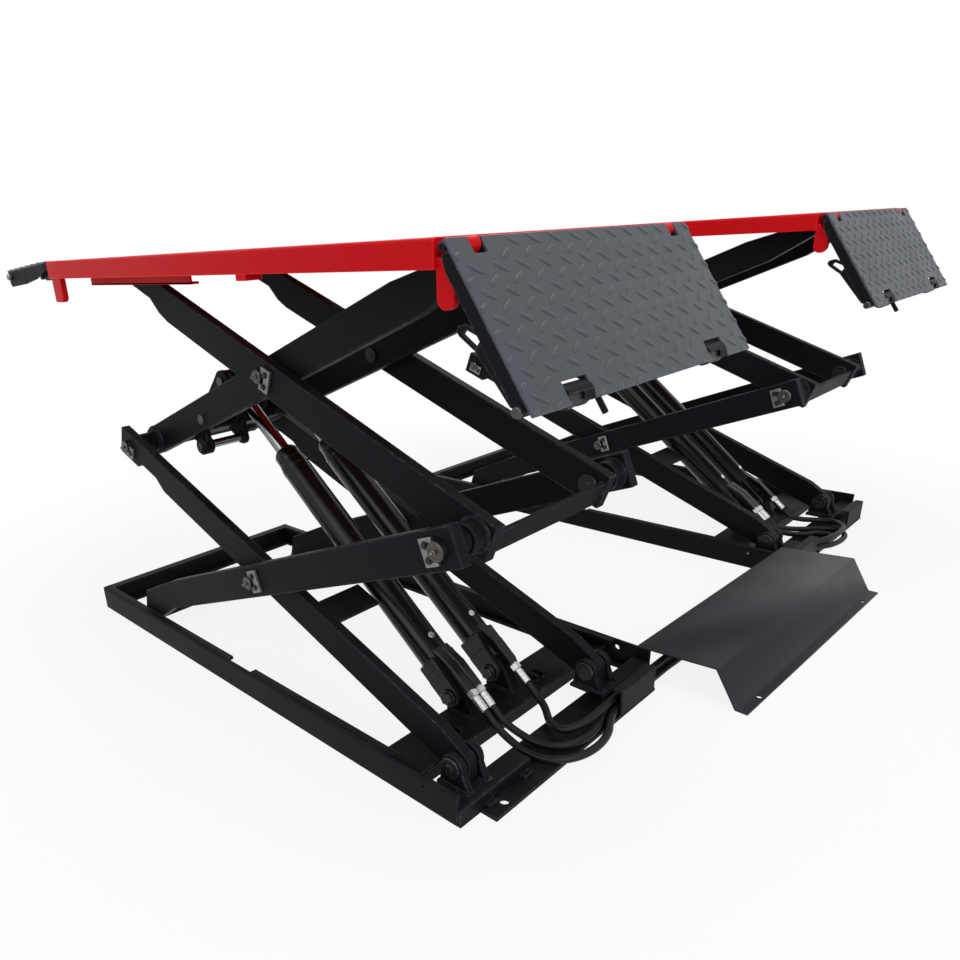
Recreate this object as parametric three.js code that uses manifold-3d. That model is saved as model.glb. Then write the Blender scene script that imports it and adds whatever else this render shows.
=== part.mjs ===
// Full-rise double scissor car lift: two lifting units side by side, a hose cover plate between them.
// Millimetres, +Z up, +X towards the front ramps, +Y towards the far unit. Drawn at a middle height.
import * as THREE from "three";
import { mergeVertices } from "three/addons/utils/BufferGeometryUtils.js";
import Module from "manifold-3d";

const wasm = await Module();
wasm.setup();

// Driving sizes of the linkage
const HALF_ARM = 557; // pin to centre pin of every arm
const REST_DEGREES = 21.15; // arm slope as drawn
const HINGE_HEIGHT = 72; // base hinge pins above the floor
const UNIT_SPACING = 1320; // centre line to centre line
const ARM_SHIFT = -41; // the arm stack sits off each unit's centre line
const REST = THREE.MathUtils.degToRad(REST_DEGREES);
const COS = Math.cos(REST);
const SIN = Math.sin(REST);
const ARM = 2 * HALF_ARM;
const SPAN = ARM * COS; // base hinge to slider, along X
const MID_HEIGHT = HINGE_HEIGHT + ARM * SIN;
const TOP_HEIGHT = HINGE_HEIGHT + 2 * ARM * SIN;

// Clearances
const FIT = 0.65; // running clearance on a radius, enough for faceted pins to turn
const GAP = 0.3; // between faces that touch
const OVERRUN = 3; // how far a cutter passes a face

// Arm plates, outside to inside: distance of each outer face from the stack's own centre line
const PLATE = 22; // arm plate thickness
const HALF_DEPTH = 34; // half of the arm's height
const LOWER_OUTER = 251;
const LOWER_INNER = 217;
const UPPER_OUTER = 171;
const UPPER_INNER = 143;
const END_REACH = 34; // arm end past its last pin
const PAD_REACH = 37; // lower inner arm's pad past the mid joint
const TIP_RADIUS = 13; // slim arm tips under the deck
const TAPER = 190; // length of the taper towards a slim tip
const NECK_DEPTH = 11; // below the axis, in the slim neck
const NECK_LENGTH = 150;
const NOTCH_DEPTH = 18; // lower inner arm's notch, below the axis
const NOTCH_START = 62;
const NOTCH_END = 126;
const NOTCH_SLOPE = 38;
const SLIDER_DROP = 44; // lower slide axle below the arm's axis
const SLIDER_NOSE = 20;
const NOSE_RISE = 8;
const NOSE_TOP = [30, 24];
const HINGE_BEVEL = 56; // lower inner arm's top edge falls from here to its hinge end
const HINGE_END = 22;
const TIE_BAR = { from: 21, to: 30, low: -25, high: 17 }; // flat bar between the upper outer arms' lower ends
const NOSE_LENGTH = 44;
const NOSE_TAPER = 150;

// Pins and bushes
const CENTRE_PIN = 13.6;
const MID_PIN = 16.6;
const PIN_STAND = 13; // pin end outside the outer arm
const PIN_INSIDE = 6; // pin end inside the inner arm
const PIN_CAP_LIP = 2; // collar on a pin's inner end, past the pin's own radius
const CAP_WIDTH = 5;
const KEEPER_WIDTH = 27;
const KEEPER_HEIGHT = 46;
const KEEPER_THICKNESS = 7;
const KEEPER_OFFSET = 19; // keeper's centre from the pin's axis
const BUSH_WALL = 4; // of the slimmer of the two sleeves on an outer mid joint
const CENTRE_BOSS = 24;
const MID_BOSS = 27;
const MID_SLEEVE = MID_PIN + BUSH_WALL;
const CROSS_TUBE = 22; // tube between the lower inner arms
const CROSS_BORE = 15;
const PLUG_LENGTH = 62;
const PLUG_RADIUS = 14.6;
const HUB_RADIUS = 32;
const HUB_COLLAR = 8; // hub outside the upper inner arm

// Slide axles and blocks
const AXLE = 12.5;
const AXLE_TUBE = 17.5;
const LOWER_BLOCK = { length: 70, height: 30, width: 12.6 };
const UPPER_BLOCK = { length: 62, height: 33, width: 15 };
const UPPER_TUBE = 14.6;
const UPPER_AXLE = 9;

// Base frame
const BASE_HALF = 318;
const RAIL_HEIGHT = 61;
const RAIL_WALL = 8;
const RAIL_FLANGE = 22;
const BASE_FRONT = 47;
const BASE_LENGTH = BASE_FRONT + SPAN + 192.04; // run of the slider behind its place as drawn, and the end channel
const FLANGE_GAP_FRONT = 541; // top flange cut away between these, behind the hinge
const FLANGE_GAP_REAR = 627;
const FLANGE_END = 36; // top flange stops here, behind the hinge
const REAR_FLANGE = 26;
const FLOOR_PLATE = 8;
const FLOOR_REAR = 20;
const FOOT_REACH = 88; // bolt-down flange in front of the hinge
const FOOT_HALF = 266;
const FOOT_BOLT = 9;
const FOOT_BOLT_X = 70;
const FOOT_BOLT_Y = 222;
const RAIL_HOLE = 7;
const RAIL_HOLE_X = 29;
const RAIL_HOLE_Z = 41;
const BOX_HEIGHT = 34;
const BOX_REAR = 10;
const BOX_END = 125;
const GUARD_HEIGHT = 60;
const GUARD_WALL = 6;
const GUARD_WIDTH = 22;
const GUARD_FRONT = 88;
const GUARD_NEAR = 130;
const GUARD_FAR = 262;
const MEMBER_FRONT = 60; // cylinder cross member, behind the hinge
const MEMBER_REAR = 160;
const MEMBER_WALL = 6;
const EAR = { radius: 24, thickness: 14, foot: 34, pin: 15, gap: 5 };

// Cylinders
const CYLINDERS = [-90, 34]; // their centre lines across the unit
const CYLINDER_X = 140; // lower pin behind the base hinge
const CYLINDER_Z = 76;
const CYLINDER_LUG = 13; // half width of the base lug
const CYLINDER_PIN = 12;
const CYLINDER_PIN_HEAD = 17;
const PIN_HEAD_WIDTH = 9;
const FORK = { inner: 14, outer: 33, radius: 24, block: 46, length: 80, height: 25 };
const BARREL = { radius: 30, wall: 6, start: 78, bottom: 118, length: 640, gland: 33, glandLength: 70 };
const GLAND_LIP = 12;
const ROD_RADIUS = 16;
const ROD_LENGTH = 556;
const PISTON_LENGTH = 40;
const EYE = { radius: 24, half: 17 };
const FITTING = { radius: 8, hex: 11, hexLength: 18, rise: 37, reach: 62, pair: 11 };

// Cross beam, cylinder bracket and knuckle shaft between the upper inner arms, along and above their axis
const LUG = { x: 270, z: 58, radius: 25, thickness: 12, pin: 11 };
const BEAM = { from: 118, to: 190, low: -30, high: 14 };
const KNUCKLE = { x: 178, z: -62, radius: 17, shaft: 8, near: 118, far: 18, thickness: 13 };
const KNUCKLE_COLLAR = 13;
const LIFT_EYE = 11;

// Platform
const DECK_FRONT = 18;
const DECK_LENGTH = DECK_FRONT + SPAN + 143.04; // run of the upper slider and the rear end
const DECK_HALF = 310;
const DECK_RISE = 23; // deck surface above the top hinge pins
const DECK_PLATE = 6;
const SKIRT_HEIGHT = 38;
const SKIRT_WALL = 6;
const END_WALL = 4;
const TRACK = { rear: SPAN + 111.04, front: SPAN - 348.96, drop: 54, wall: 6, lip: 5 };
const HINGE_EAR = { radius: 14, thickness: 10, gap: 3, pin: 9 };
const STOP_BLOCK = { x: 421, length: 28, depth: 10, width: 30 };
const REAR_LUG = { length: 30, drop: 52, thickness: 14, inset: 12 };
const FRONT_LUG = { back: 4, length: 30, drop: 49, outer: 8, inner: 22 };

// Ramps
const RAMP = { length: 240, half: DECK_HALF, plate: 5, rib: 18, ribWall: 6, root: 9, back: 5, top: 11 };
const RAMP_HINGE_OUT = 13; // hinge axis past the deck's end
const FRONT_DROOP = THREE.MathUtils.degToRad(56.3);
const REAR_DROOP = THREE.MathUtils.degToRad(4);
const RAMP_LUGS = [-255, 255];
const RAMP_LUG = { radius: 10, thickness: 24, pin: 6, gap: 1.5, earThickness: 10 };
const RAMP_RIBS = [-100, 100];
const ROLLER = { y: 198, half: 25, radius: 15, axle: 6, inset: 15, drop: 5, notchDepth: 34, notchHalf: 29 };

// Hose cover
const COVER_LAP = 27; // over each rail's top edge
const COVER = {
  half: UNIT_SPACING / 2 - BASE_HALF + COVER_LAP,
  middle: 14,
  leg: UNIT_SPACING / 2 - BASE_HALF - 7,
  legDepth: 30,
  back: 20,
  backZ: RAIL_HEIGHT + GAP + 4,
  ridge: 196,
  ridgeZ: 80,
  fold: 242,
  foot: 22,
  sheet: 4,
};
const COVER_TURN = THREE.MathUtils.degToRad(-1.8); // it lies a little askew

// Hoses. Each starts at a fitting and passes through points chosen by hand, to the guard beside the cover.
const HOSE = 7.6;
const HOSE_SIDES = 8;
const HOSE_STEP = 40;
const HOSE_LEAD = 30; // straight out of the fitting
const GUARD_HOSES = [[56.5, 16.5], [64.7, 33], [73, 16.5]]; // inner, upper and outer hose in the guard: x and z
const GUARD_REACH = [170, 262, 300, 321];
const HOSE_GAP = 0.8; // between two stretches of one hose
const STRAIGHT = 16;
const HOSE_FITTINGS = [[0, FITTING.pair], [1, 0], [0, -FITTING.pair]]; // cylinder and offset of each hose's fitting
const NEAR_LOOPS = [
  [[-12, -72, 28], [25, -62, 17], [60, -44, 17], [80, 0, 17], [79, 52, 17], [63, 104, 17], [57, 140, 16.5]],
  [[-20, 24, 34], [15, -5, 27], [45, -12, 30], [65, 25, 33], [68, 80, 35], [64, 130, 34]],
  [[-10, -100, 27], [35, -99, 17], [76, -84, 17], [103, -46, 17], [112, 2, 17], [105, 50, 17], [86, 91, 17],
    [74, 127, 16.5]],
];
const FAR_LOOPS = [
  [[-20, -42, 34], [5, 12, 22], [38, 60, 17], [80, 78, 17], [107, 46, 17], [113, -8, 17], [104, -56, 17],
    [86, -94, 17], [74, -128, 16.5]],
  [[-18, 50, 38], [14, 78, 34], [56, 92, 35], [92, 66, 37], [103, 12, 37], [96, -54, 36], [80, -100, 35],
    [66, -140, 34]],
  [[-16, -74, 30], [18, -24, 19], [50, 20, 17], [78, 18, 17], [87, -26, 17], [74, -72, 17], [58, -110, 17],
    [57, -146, 16.5]],
];
const FAR_ORDER = [2, 1, 0]; // the far loops reach the guard's inner, upper and outer place in this order
const CROSSING = [[280, 14, 31], [150, 9, 25], [0, 8.4, 24], [-150, 9, 25], [-280, 14, 31]];
const LOW_ROW = 20; // hoses in the guard below this height stay on the floor under the cover

const SEGMENTS = 16;
const PIN_SEGMENTS = 12;
const PIN_LIMIT = 20; // rounds up to this radius take the smaller count
const SMALL_SEGMENTS = 8;

const paint = (color, roughness, metalness) => new THREE.MeshStandardMaterial({ color, roughness, metalness });
const FRAME_PAINT = paint(0x24282d, 0.45, 0.3);
const DECK_PAINT = paint(0xc4161c, 0.35, 0.2);
const RAMP_PAINT = paint(0x51555d, 0.5, 0.4);
const ZINC = paint(0xa8aaa8, 0.35, 0.9);
const CHROME = paint(0xd5d8da, 0.12, 1);
const BLACK = paint(0x141415, 0.35, 0.3);
const RUBBER = paint(0x18181a, 0.8, 0);

// Solids
function toSolid(geometry) {
  const plain = geometry.index ? geometry.toNonIndexed() : geometry.clone();
  const bare = new THREE.BufferGeometry().setAttribute("position", plain.getAttribute("position"));
  const merged = mergeVertices(bare, 1e-4);
  return new wasm.Manifold(
    new wasm.Mesh({
      numProp: 3,
      vertProperties: merged.attributes.position.array,
      triVerts: new Uint32Array(merged.index.array),
    }),
  );
}

function toGeometry(solid) {
  const mesh = solid.getMesh();
  const count = mesh.numVert;
  const positions = new Float32Array(count * 3);
  for (let i = 0; i < count; i++)
    positions.set(mesh.vertProperties.subarray(i * mesh.numProp, i * mesh.numProp + 3), i * 3);
  return new THREE.BufferGeometry()
    .setAttribute("position", new THREE.BufferAttribute(positions, 3))
    .setIndex(new THREE.BufferAttribute(new Uint32Array(mesh.triVerts), 1));
}

const join = (solids) => solids.reduce((all, one) => all.add(one));
const cut = (solid, cutters) => cutters.reduce((left, one) => left.subtract(one), solid);

function box(x0, x1, y0, y1, z0, z1) {
  const geometry = new THREE.BoxGeometry(x1 - x0, y1 - y0, z1 - z0);
  geometry.translate((x0 + x1) / 2, (y0 + y1) / 2, (z0 + z1) / 2);
  return toSolid(geometry);
}

// A cylinder along Y between y0 and y1.
const roundness = (radius) => (radius > PIN_LIMIT ? SEGMENTS : PIN_SEGMENTS);
function bar(radius, y0, y1, x = 0, z = 0, segments = roundness(radius)) {
  const geometry = new THREE.CylinderGeometry(radius, radius, y1 - y0, segments);
  geometry.translate(x, (y0 + y1) / 2, z);
  return toSolid(geometry);
}

// A cylinder along X between x0 and x1.
function rodAlongX(radius, x0, x1, y = 0, z = 0, segments = roundness(radius)) {
  const geometry = new THREE.CylinderGeometry(radius, radius, x1 - x0, segments);
  geometry.rotateZ(Math.PI / 2);
  geometry.translate((x0 + x1) / 2, y, z);
  return toSolid(geometry);
}

// A plate with an outline in X and Z, between y0 and y1.
function plate(points, y0, y1) {
  const shape = new THREE.Shape(points.map(([x, z]) => new THREE.Vector2(x, z)));
  const geometry = new THREE.ExtrudeGeometry(shape, { depth: y1 - y0, bevelEnabled: false });
  geometry.rotateX(Math.PI / 2);
  geometry.translate(0, y1, 0);
  return toSolid(geometry);
}

// A plate with an outline in Y and Z, between x0 and x1.
function plateAcross(points, x0, x1) {
  const shape = new THREE.Shape(points.map(([y, z]) => new THREE.Vector2(y, z)));
  const geometry = new THREE.ExtrudeGeometry(shape, { depth: x1 - x0, bevelEnabled: false });
  geometry.rotateX(Math.PI / 2);
  geometry.rotateZ(Math.PI / 2);
  geometry.translate(x0, 0, 0);
  return toSolid(geometry);
}

// Points of an arc from one angle to another, in degrees.
function arc(x, z, radius, from, to, steps = 6) {
  return Array.from({ length: steps + 1 }, (_, i) => {
    const angle = THREE.MathUtils.degToRad(from + ((to - from) * i) / steps);
    return [x + radius * Math.cos(angle), z + radius * Math.sin(angle)];
  });
}

// Both sides of the arm stack: side -1 is towards the viewer.
const SIDES = [-1, 1];
function span(side, outer, inner) {
  return side < 0 ? [ARM_SHIFT - outer, ARM_SHIFT - inner] : [ARM_SHIFT + inner, ARM_SHIFT + outer];
}
const pair = (make) => SIDES.map(make);

function sidePlates(outline, outer) {
  return pair((side) => plate(outline, ...span(side, outer, outer - PLATE)));
}
function sideBars(radius, outer, inner, x = 0, z = 0) {
  return pair((side) => bar(radius, ...span(side, outer, inner), x, z));
}
function throughBar(radius, half, x = 0, z = 0) {
  return bar(radius, ARM_SHIFT - half, ARM_SHIFT + half, x, z);
}

// Lower outer arms: slider at the origin, mid joint at +ARM
function lowerOuterArms() {
  const outline = [
    ...arc(0, -SLIDER_DROP, SLIDER_NOSE, 150, 270),
    [NOSE_LENGTH, -SLIDER_DROP - SLIDER_NOSE + NOSE_RISE],
    [NOSE_TAPER, -HALF_DEPTH],
    [ARM + END_REACH, -HALF_DEPTH],
    [ARM + END_REACH, HALF_DEPTH],
    [TAPER, HALF_DEPTH],
    NOSE_TOP,
  ];
  const bushEnd = (LOWER_OUTER - PLATE + UPPER_OUTER) / 2;
  const solid = join([
    ...sidePlates(outline, LOWER_OUTER),
    throughBar(AXLE_TUBE, LOWER_OUTER - PLATE / 2, 0, -SLIDER_DROP),
    ...SIDES.map((side) => bar(side < 0 ? MID_SLEEVE : MID_BOSS, ...span(side, LOWER_OUTER - PLATE / 2, bushEnd + GAP), ARM)),
  ]);
  return cut(solid, [
    throughBar(AXLE + FIT, LOWER_OUTER + OVERRUN, 0, -SLIDER_DROP),
    throughBar(CENTRE_PIN + FIT, LOWER_OUTER + OVERRUN, HALF_ARM),
    throughBar(MID_PIN + FIT, LOWER_OUTER + OVERRUN, ARM),
  ]);
}

// Lower inner arms: base hinge at the origin, mid joint at -ARM
function lowerInnerArms() {
  const outline = [
    ...arc(0, 0, HALF_DEPTH, -90, -25, 4),
    ...arc(0, 0, HINGE_END, 15, 70, 3),
    [-HINGE_BEVEL, HALF_DEPTH],
    [-ARM - PAD_REACH, HALF_DEPTH],
    [-ARM - PAD_REACH, -HALF_DEPTH],
    [-ARM + NOTCH_START - NOTCH_DEPTH, -HALF_DEPTH],
    [-ARM + NOTCH_START, -NOTCH_DEPTH],
    [-ARM + NOTCH_END, -NOTCH_DEPTH],
    [-ARM + NOTCH_END + NOTCH_SLOPE, -HALF_DEPTH],
  ];
  const solid = join([
    ...sidePlates(outline, LOWER_INNER),
    throughBar(CROSS_TUBE, LOWER_INNER - PLATE / 2, -ARM),
    ...sideBars(CENTRE_BOSS, LOWER_OUTER - PLATE - GAP, LOWER_INNER - PLATE / 2, -HALF_ARM),
  ]);
  return cut(solid, [
    throughBar(EAR.pin + FIT, LOWER_INNER + OVERRUN),
    throughBar(CENTRE_PIN + FIT, LOWER_OUTER, -HALF_ARM),
    throughBar(CROSS_BORE, LOWER_INNER + OVERRUN, -ARM),
  ]);
}

// Upper outer arms: mid joint at the origin, platform slider at -ARM
function upperOuterArms() {
  const outline = [
    [END_REACH, -HALF_DEPTH],
    [END_REACH, HALF_DEPTH],
    [-ARM + TAPER, HALF_DEPTH],
    ...arc(-ARM, 0, TIP_RADIUS, 90, 180),
    [-ARM - TIP_RADIUS, -NECK_DEPTH],
    [-ARM + NECK_LENGTH, -NECK_DEPTH],
    [-ARM + TAPER, -HALF_DEPTH + NECK_DEPTH / 2],
    [-ARM + TAPER + HALF_DEPTH, -HALF_DEPTH],
  ];
  const bushEnd = (LOWER_OUTER - PLATE + UPPER_OUTER) / 2;
  const tieHalf = UPPER_OUTER - PLATE / 2;
  const solid = join([
    ...sidePlates(outline, UPPER_OUTER),
    throughBar(UPPER_TUBE, UPPER_OUTER - PLATE / 2, -ARM),
    ...SIDES.map((side) => bar(side < 0 ? MID_BOSS : MID_SLEEVE, ...span(side, bushEnd, UPPER_OUTER - PLATE / 2))),
    box(TIE_BAR.from, TIE_BAR.to, ARM_SHIFT - tieHalf, ARM_SHIFT + tieHalf, TIE_BAR.low, TIE_BAR.high),
  ]);
  return cut(solid, [
    throughBar(MID_PIN + FIT, LOWER_OUTER),
    throughBar(CENTRE_PIN + FIT, LOWER_OUTER, -HALF_ARM),
    throughBar(UPPER_AXLE + FIT, LOWER_OUTER, -ARM),
  ]);
}

// Upper inner arms: mid joint at the origin, platform hinge at +ARM
function upperInnerArms() {
  const outline = [
    [-NECK_DEPTH, -HALF_DEPTH],
    [ARM - NECK_LENGTH, -HALF_DEPTH],
    [ARM - TIP_RADIUS, -TIP_RADIUS],
    ...arc(ARM, 0, TIP_RADIUS, -90, 90),
    [ARM - TAPER, HALF_DEPTH],
    [-NECK_DEPTH, HALF_DEPTH],
  ];
  const beamHalf = UPPER_INNER - PLATE / 2;
  const parts = [
    ...sidePlates(outline, UPPER_INNER),
    ...sideBars(HUB_RADIUS, UPPER_INNER + HUB_COLLAR, UPPER_INNER - PLATE),
    ...sideBars(CENTRE_BOSS, UPPER_OUTER - PLATE - GAP, UPPER_INNER - PLATE / 2, HALF_ARM),
    box(BEAM.from, BEAM.to, ARM_SHIFT - beamHalf, ARM_SHIFT + beamHalf, BEAM.low, BEAM.high),
  ];
  const bracket = [
    [BEAM.from, BEAM.low],
    [BEAM.to, BEAM.low],
    [LUG.x + LUG.radius, LUG.z - LUG.radius / 2],
    ...arc(LUG.x, LUG.z, LUG.radius, 0, 130, 4),
    [BEAM.from, BEAM.high],
  ];
  for (const y of CYLINDERS)
    for (const side of SIDES) {
      const inner = y + side * (EYE.half + GAP + 1);
      const outer = inner + side * LUG.thickness;
      parts.push(plate(bracket, Math.min(inner, outer), Math.max(inner, outer)));
      const head = outer + side * LUG.thickness * 0.4;
      parts.push(bar(LUG.pin, Math.min(outer, head) - 1, Math.max(outer, head), LUG.x, LUG.z, SMALL_SEGMENTS));
    }
  const knuckle = [
    ...arc(KNUCKLE.x, KNUCKLE.z, KNUCKLE.radius, 180, 360, 4),
    [BEAM.to + KNUCKLE.radius, BEAM.low + KNUCKLE.radius],
    [BEAM.from, BEAM.low + KNUCKLE.radius],
  ];
  const nearArm = ARM_SHIFT - KNUCKLE.near;
  const farArm = ARM_SHIFT - KNUCKLE.far;
  parts.push(plate(knuckle, nearArm, nearArm + KNUCKLE.thickness));
  parts.push(plate(knuckle, farArm - KNUCKLE.thickness, farArm));
  parts.push(bar(KNUCKLE.shaft, nearArm, farArm, KNUCKLE.x, KNUCKLE.z, SMALL_SEGMENTS));
  parts.push(
    bar(KNUCKLE_COLLAR, nearArm, nearArm + 2 * KNUCKLE.thickness, KNUCKLE.x, KNUCKLE.z, SMALL_SEGMENTS),
    bar(KNUCKLE_COLLAR, farArm - 2 * KNUCKLE.thickness, farArm, KNUCKLE.x, KNUCKLE.z, SMALL_SEGMENTS),
    bar(LIFT_EYE, ...span(-1, UPPER_INNER + CAP_WIDTH, UPPER_INNER - PLATE), BEAM.to + BEAM.high * 4, -NECK_DEPTH),
  );
  return cut(join(parts), [
    throughBar(CROSS_TUBE + FIT, LOWER_INNER),
    throughBar(CENTRE_PIN + FIT, LOWER_INNER, HALF_ARM),
    throughBar(HINGE_EAR.pin + FIT, LOWER_INNER, ARM),
  ]);
}

// A pin through both plates of a joint, with its inner collar and the keeper plate on its outer end.
// The keeper lies along the arm, ahead of the pin (+1) or behind it (-1).
function jointPin(side, radius, outer, inner, along) {
  const end = outer + PIN_STAND;
  const solids = [
    bar(radius, ...span(side, end, inner - PIN_INSIDE)),
    bar(radius + PIN_CAP_LIP, ...span(side, inner - GAP, inner - GAP - CAP_WIDTH)),
  ];
  const face = outer + GAP;
  const top = face + KEEPER_THICKNESS;
  const keeper = [
    plateRect(along * KEEPER_OFFSET, 0, KEEPER_WIDTH, KEEPER_HEIGHT, span(side, top, face)),
    plateRect((along * KEEPER_OFFSET) / 2, 0, KEEPER_OFFSET, radius, span(side, top, face)),
  ];
  return join([...solids, ...keeper]);
}
function plateRect(x, z, width, height, [y0, y1]) {
  return box(x - width / 2, x + width / 2, y0, y1, z - height / 2, z + height / 2);
}

// Plug in the end of the lower inner arms' cross tube, with its keeper
function plugPin(side) {
  const face = LOWER_INNER + GAP;
  const top = face + KEEPER_THICKNESS;
  const shaft = bar(PLUG_RADIUS, ...span(side, LOWER_INNER + PIN_STAND, LOWER_INNER - PLUG_LENGTH));
  const keeper = plateRect(KEEPER_WIDTH / 4, -KEEPER_WIDTH / 4, KEEPER_HEIGHT, KEEPER_WIDTH, span(side, top, face));
  return join([shaft, keeper]);
}

// Slide axles, in the frame of the block's own centre
function lowerSlideAxle() {
  const half = BASE_HALF - RAIL_WALL - GAP;
  const block = (y0, y1) =>
    box(-LOWER_BLOCK.length / 2, LOWER_BLOCK.length / 2, y0, y1, -LOWER_BLOCK.height / 2, LOWER_BLOCK.height / 2);
  return join([
    bar(AXLE, -half, half),
    block(-half, -half + LOWER_BLOCK.width),
    block(half - LOWER_BLOCK.width, half),
  ]);
}
function upperSlideAxle() {
  const inner = UPPER_OUTER + GAP;
  const outer = inner + UPPER_BLOCK.width;
  const blocks = pair((side) => {
    const [y0, y1] = span(side, outer, inner);
    return box(-UPPER_BLOCK.length / 2, UPPER_BLOCK.length / 2, y0, y1, -UPPER_BLOCK.height / 2, UPPER_BLOCK.height / 2);
  });
  return join([throughBar(UPPER_AXLE, outer), ...blocks]);
}

// Base frame: rails, end channel, floor plate, clevises, cross member, guards
function baseFrame(guardSides) {
  const rear = BASE_FRONT - BASE_LENGTH;
  const parts = [];
  const cuts = [];
  for (const side of SIDES) {
    const web = side * BASE_HALF;
    const inside = side * (BASE_HALF - RAIL_WALL);
    const lip = side * (BASE_HALF - RAIL_FLANGE);
    const order = (a, b) => [Math.min(a, b), Math.max(a, b)];
    const [w0, w1] = order(web, inside);
    const [f0, f1] = order(web, lip);
    parts.push(box(rear, BASE_FRONT, w0, w1, 0, RAIL_HEIGHT));
    parts.push(box(rear, BASE_FRONT, f0, f1, 0, RAIL_WALL));
    parts.push(box(rear, -FLANGE_GAP_REAR, f0, f1, RAIL_HEIGHT - RAIL_WALL, RAIL_HEIGHT));
    parts.push(box(-FLANGE_GAP_FRONT, -FLANGE_END, f0, f1, RAIL_HEIGHT - RAIL_WALL, RAIL_HEIGHT));
    const hole = side > 0 ? RAIL_HOLE : RAIL_HOLE / 2;
    cuts.push(bar(hole, w0 - OVERRUN, w1 + OVERRUN, -RAIL_HOLE_X, RAIL_HOLE_Z, SMALL_SEGMENTS));
  }
  parts.push(box(rear, rear + RAIL_WALL, -BASE_HALF, BASE_HALF, 0, RAIL_HEIGHT));
  parts.push(box(rear, rear + REAR_FLANGE, -BASE_HALF, BASE_HALF, RAIL_HEIGHT - RAIL_WALL, RAIL_HEIGHT));
  parts.push(box(rear, rear + REAR_FLANGE, -BASE_HALF, BASE_HALF, 0, RAIL_WALL));
  parts.push(box(-FLOOR_REAR, BASE_FRONT, -BASE_HALF + RAIL_WALL / 2, BASE_HALF - RAIL_WALL / 2, 0, FLOOR_PLATE));
  parts.push(box(BASE_FRONT - OVERRUN, FOOT_REACH, -FOOT_HALF, FOOT_HALF, 0, FLOOR_PLATE));
  for (const side of SIDES)
    cuts.push(
      toSolid(
        new THREE.CylinderGeometry(FOOT_BOLT, FOOT_BOLT, 2 * FLOOR_PLATE + 2 * OVERRUN, SMALL_SEGMENTS)
          .rotateX(Math.PI / 2)
          .translate(FOOT_BOLT_X, side * FOOT_BOLT_Y, FLOOR_PLATE / 2),
      ),
    );
  const boxNear = -BASE_HALF + RAIL_WALL / 2;
  parts.push(box(-BOX_REAR, BASE_FRONT, boxNear, -BOX_END, BOX_HEIGHT - RAIL_WALL, BOX_HEIGHT));
  parts.push(box(BASE_FRONT - RAIL_WALL, BASE_FRONT, boxNear, -BOX_END, 0, BOX_HEIGHT));
  for (const side of guardSides) {
    const y0 = side > 0 ? GUARD_NEAR : -GUARD_FAR;
    const y1 = side > 0 ? GUARD_FAR : -GUARD_NEAR;
    parts.push(box(GUARD_FRONT - GUARD_WALL, GUARD_FRONT, y0, y1, FLOOR_PLATE / 2, GUARD_HEIGHT));
    parts.push(box(GUARD_FRONT - GUARD_WIDTH, GUARD_FRONT, y0, y1, GUARD_HEIGHT - GUARD_WALL, GUARD_HEIGHT));
  }
  const memberHalf = BASE_HALF - RAIL_WALL / 2;
  parts.push(box(-MEMBER_REAR, -MEMBER_FRONT, -memberHalf, memberHalf, BOX_HEIGHT - MEMBER_WALL, BOX_HEIGHT));
  for (const x of [-MEMBER_REAR, -MEMBER_FRONT - MEMBER_WALL])
    parts.push(box(x, x + MEMBER_WALL, -memberHalf, memberHalf, MEMBER_WALL / 2, BOX_HEIGHT - MEMBER_WALL / 2));
  for (const side of SIDES) {
    const outer = LOWER_INNER + EAR.gap;
    const inner = LOWER_INNER - PLATE - EAR.gap;
    const floor = side < 0 ? BOX_HEIGHT - RAIL_WALL / 2 : FLOOR_PLATE / 2;
    const outline = [
      [-EAR.foot + EAR.gap, floor],
      [EAR.foot + EAR.gap, floor],
      ...arc(0, HINGE_HEIGHT, EAR.radius, -15, 195),
    ];
    parts.push(plate(outline, ...span(side, outer + EAR.thickness, outer)));
    parts.push(plate(outline, ...span(side, inner, inner - EAR.thickness)));
    parts.push(bar(EAR.pin, ...span(side, outer + EAR.thickness + GAP, inner - EAR.thickness - GAP), 0, HINGE_HEIGHT));
    if (side < 0) continue;
    const pad = span(side, outer + 2 * EAR.thickness, inner - 2 * EAR.thickness);
    parts.push(box(-EAR.foot, FLOOR_PLATE, ...pad, 0, FLOOR_PLATE));
  }
  for (const y of CYLINDERS) {
    const lug = [
      [-CYLINDER_X - FORK.radius, BOX_HEIGHT - MEMBER_WALL / 2],
      [-CYLINDER_X + 2 * FORK.radius, BOX_HEIGHT - MEMBER_WALL / 2],
      ...arc(-CYLINDER_X, CYLINDER_Z, FORK.radius - 2, 20, 180, 5),
    ];
    parts.push(plate(lug, y - CYLINDER_LUG, y + CYLINDER_LUG));
    const head = y - FORK.outer - GAP;
    parts.push(bar(CYLINDER_PIN, head - PIN_HEAD_WIDTH, y + FORK.outer + PIN_HEAD_WIDTH / 2, -CYLINDER_X, CYLINDER_Z));
    parts.push(bar(CYLINDER_PIN_HEAD, head - PIN_HEAD_WIDTH, head, -CYLINDER_X, CYLINDER_Z));
  }
  return cut(join(parts), cuts);
}

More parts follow.
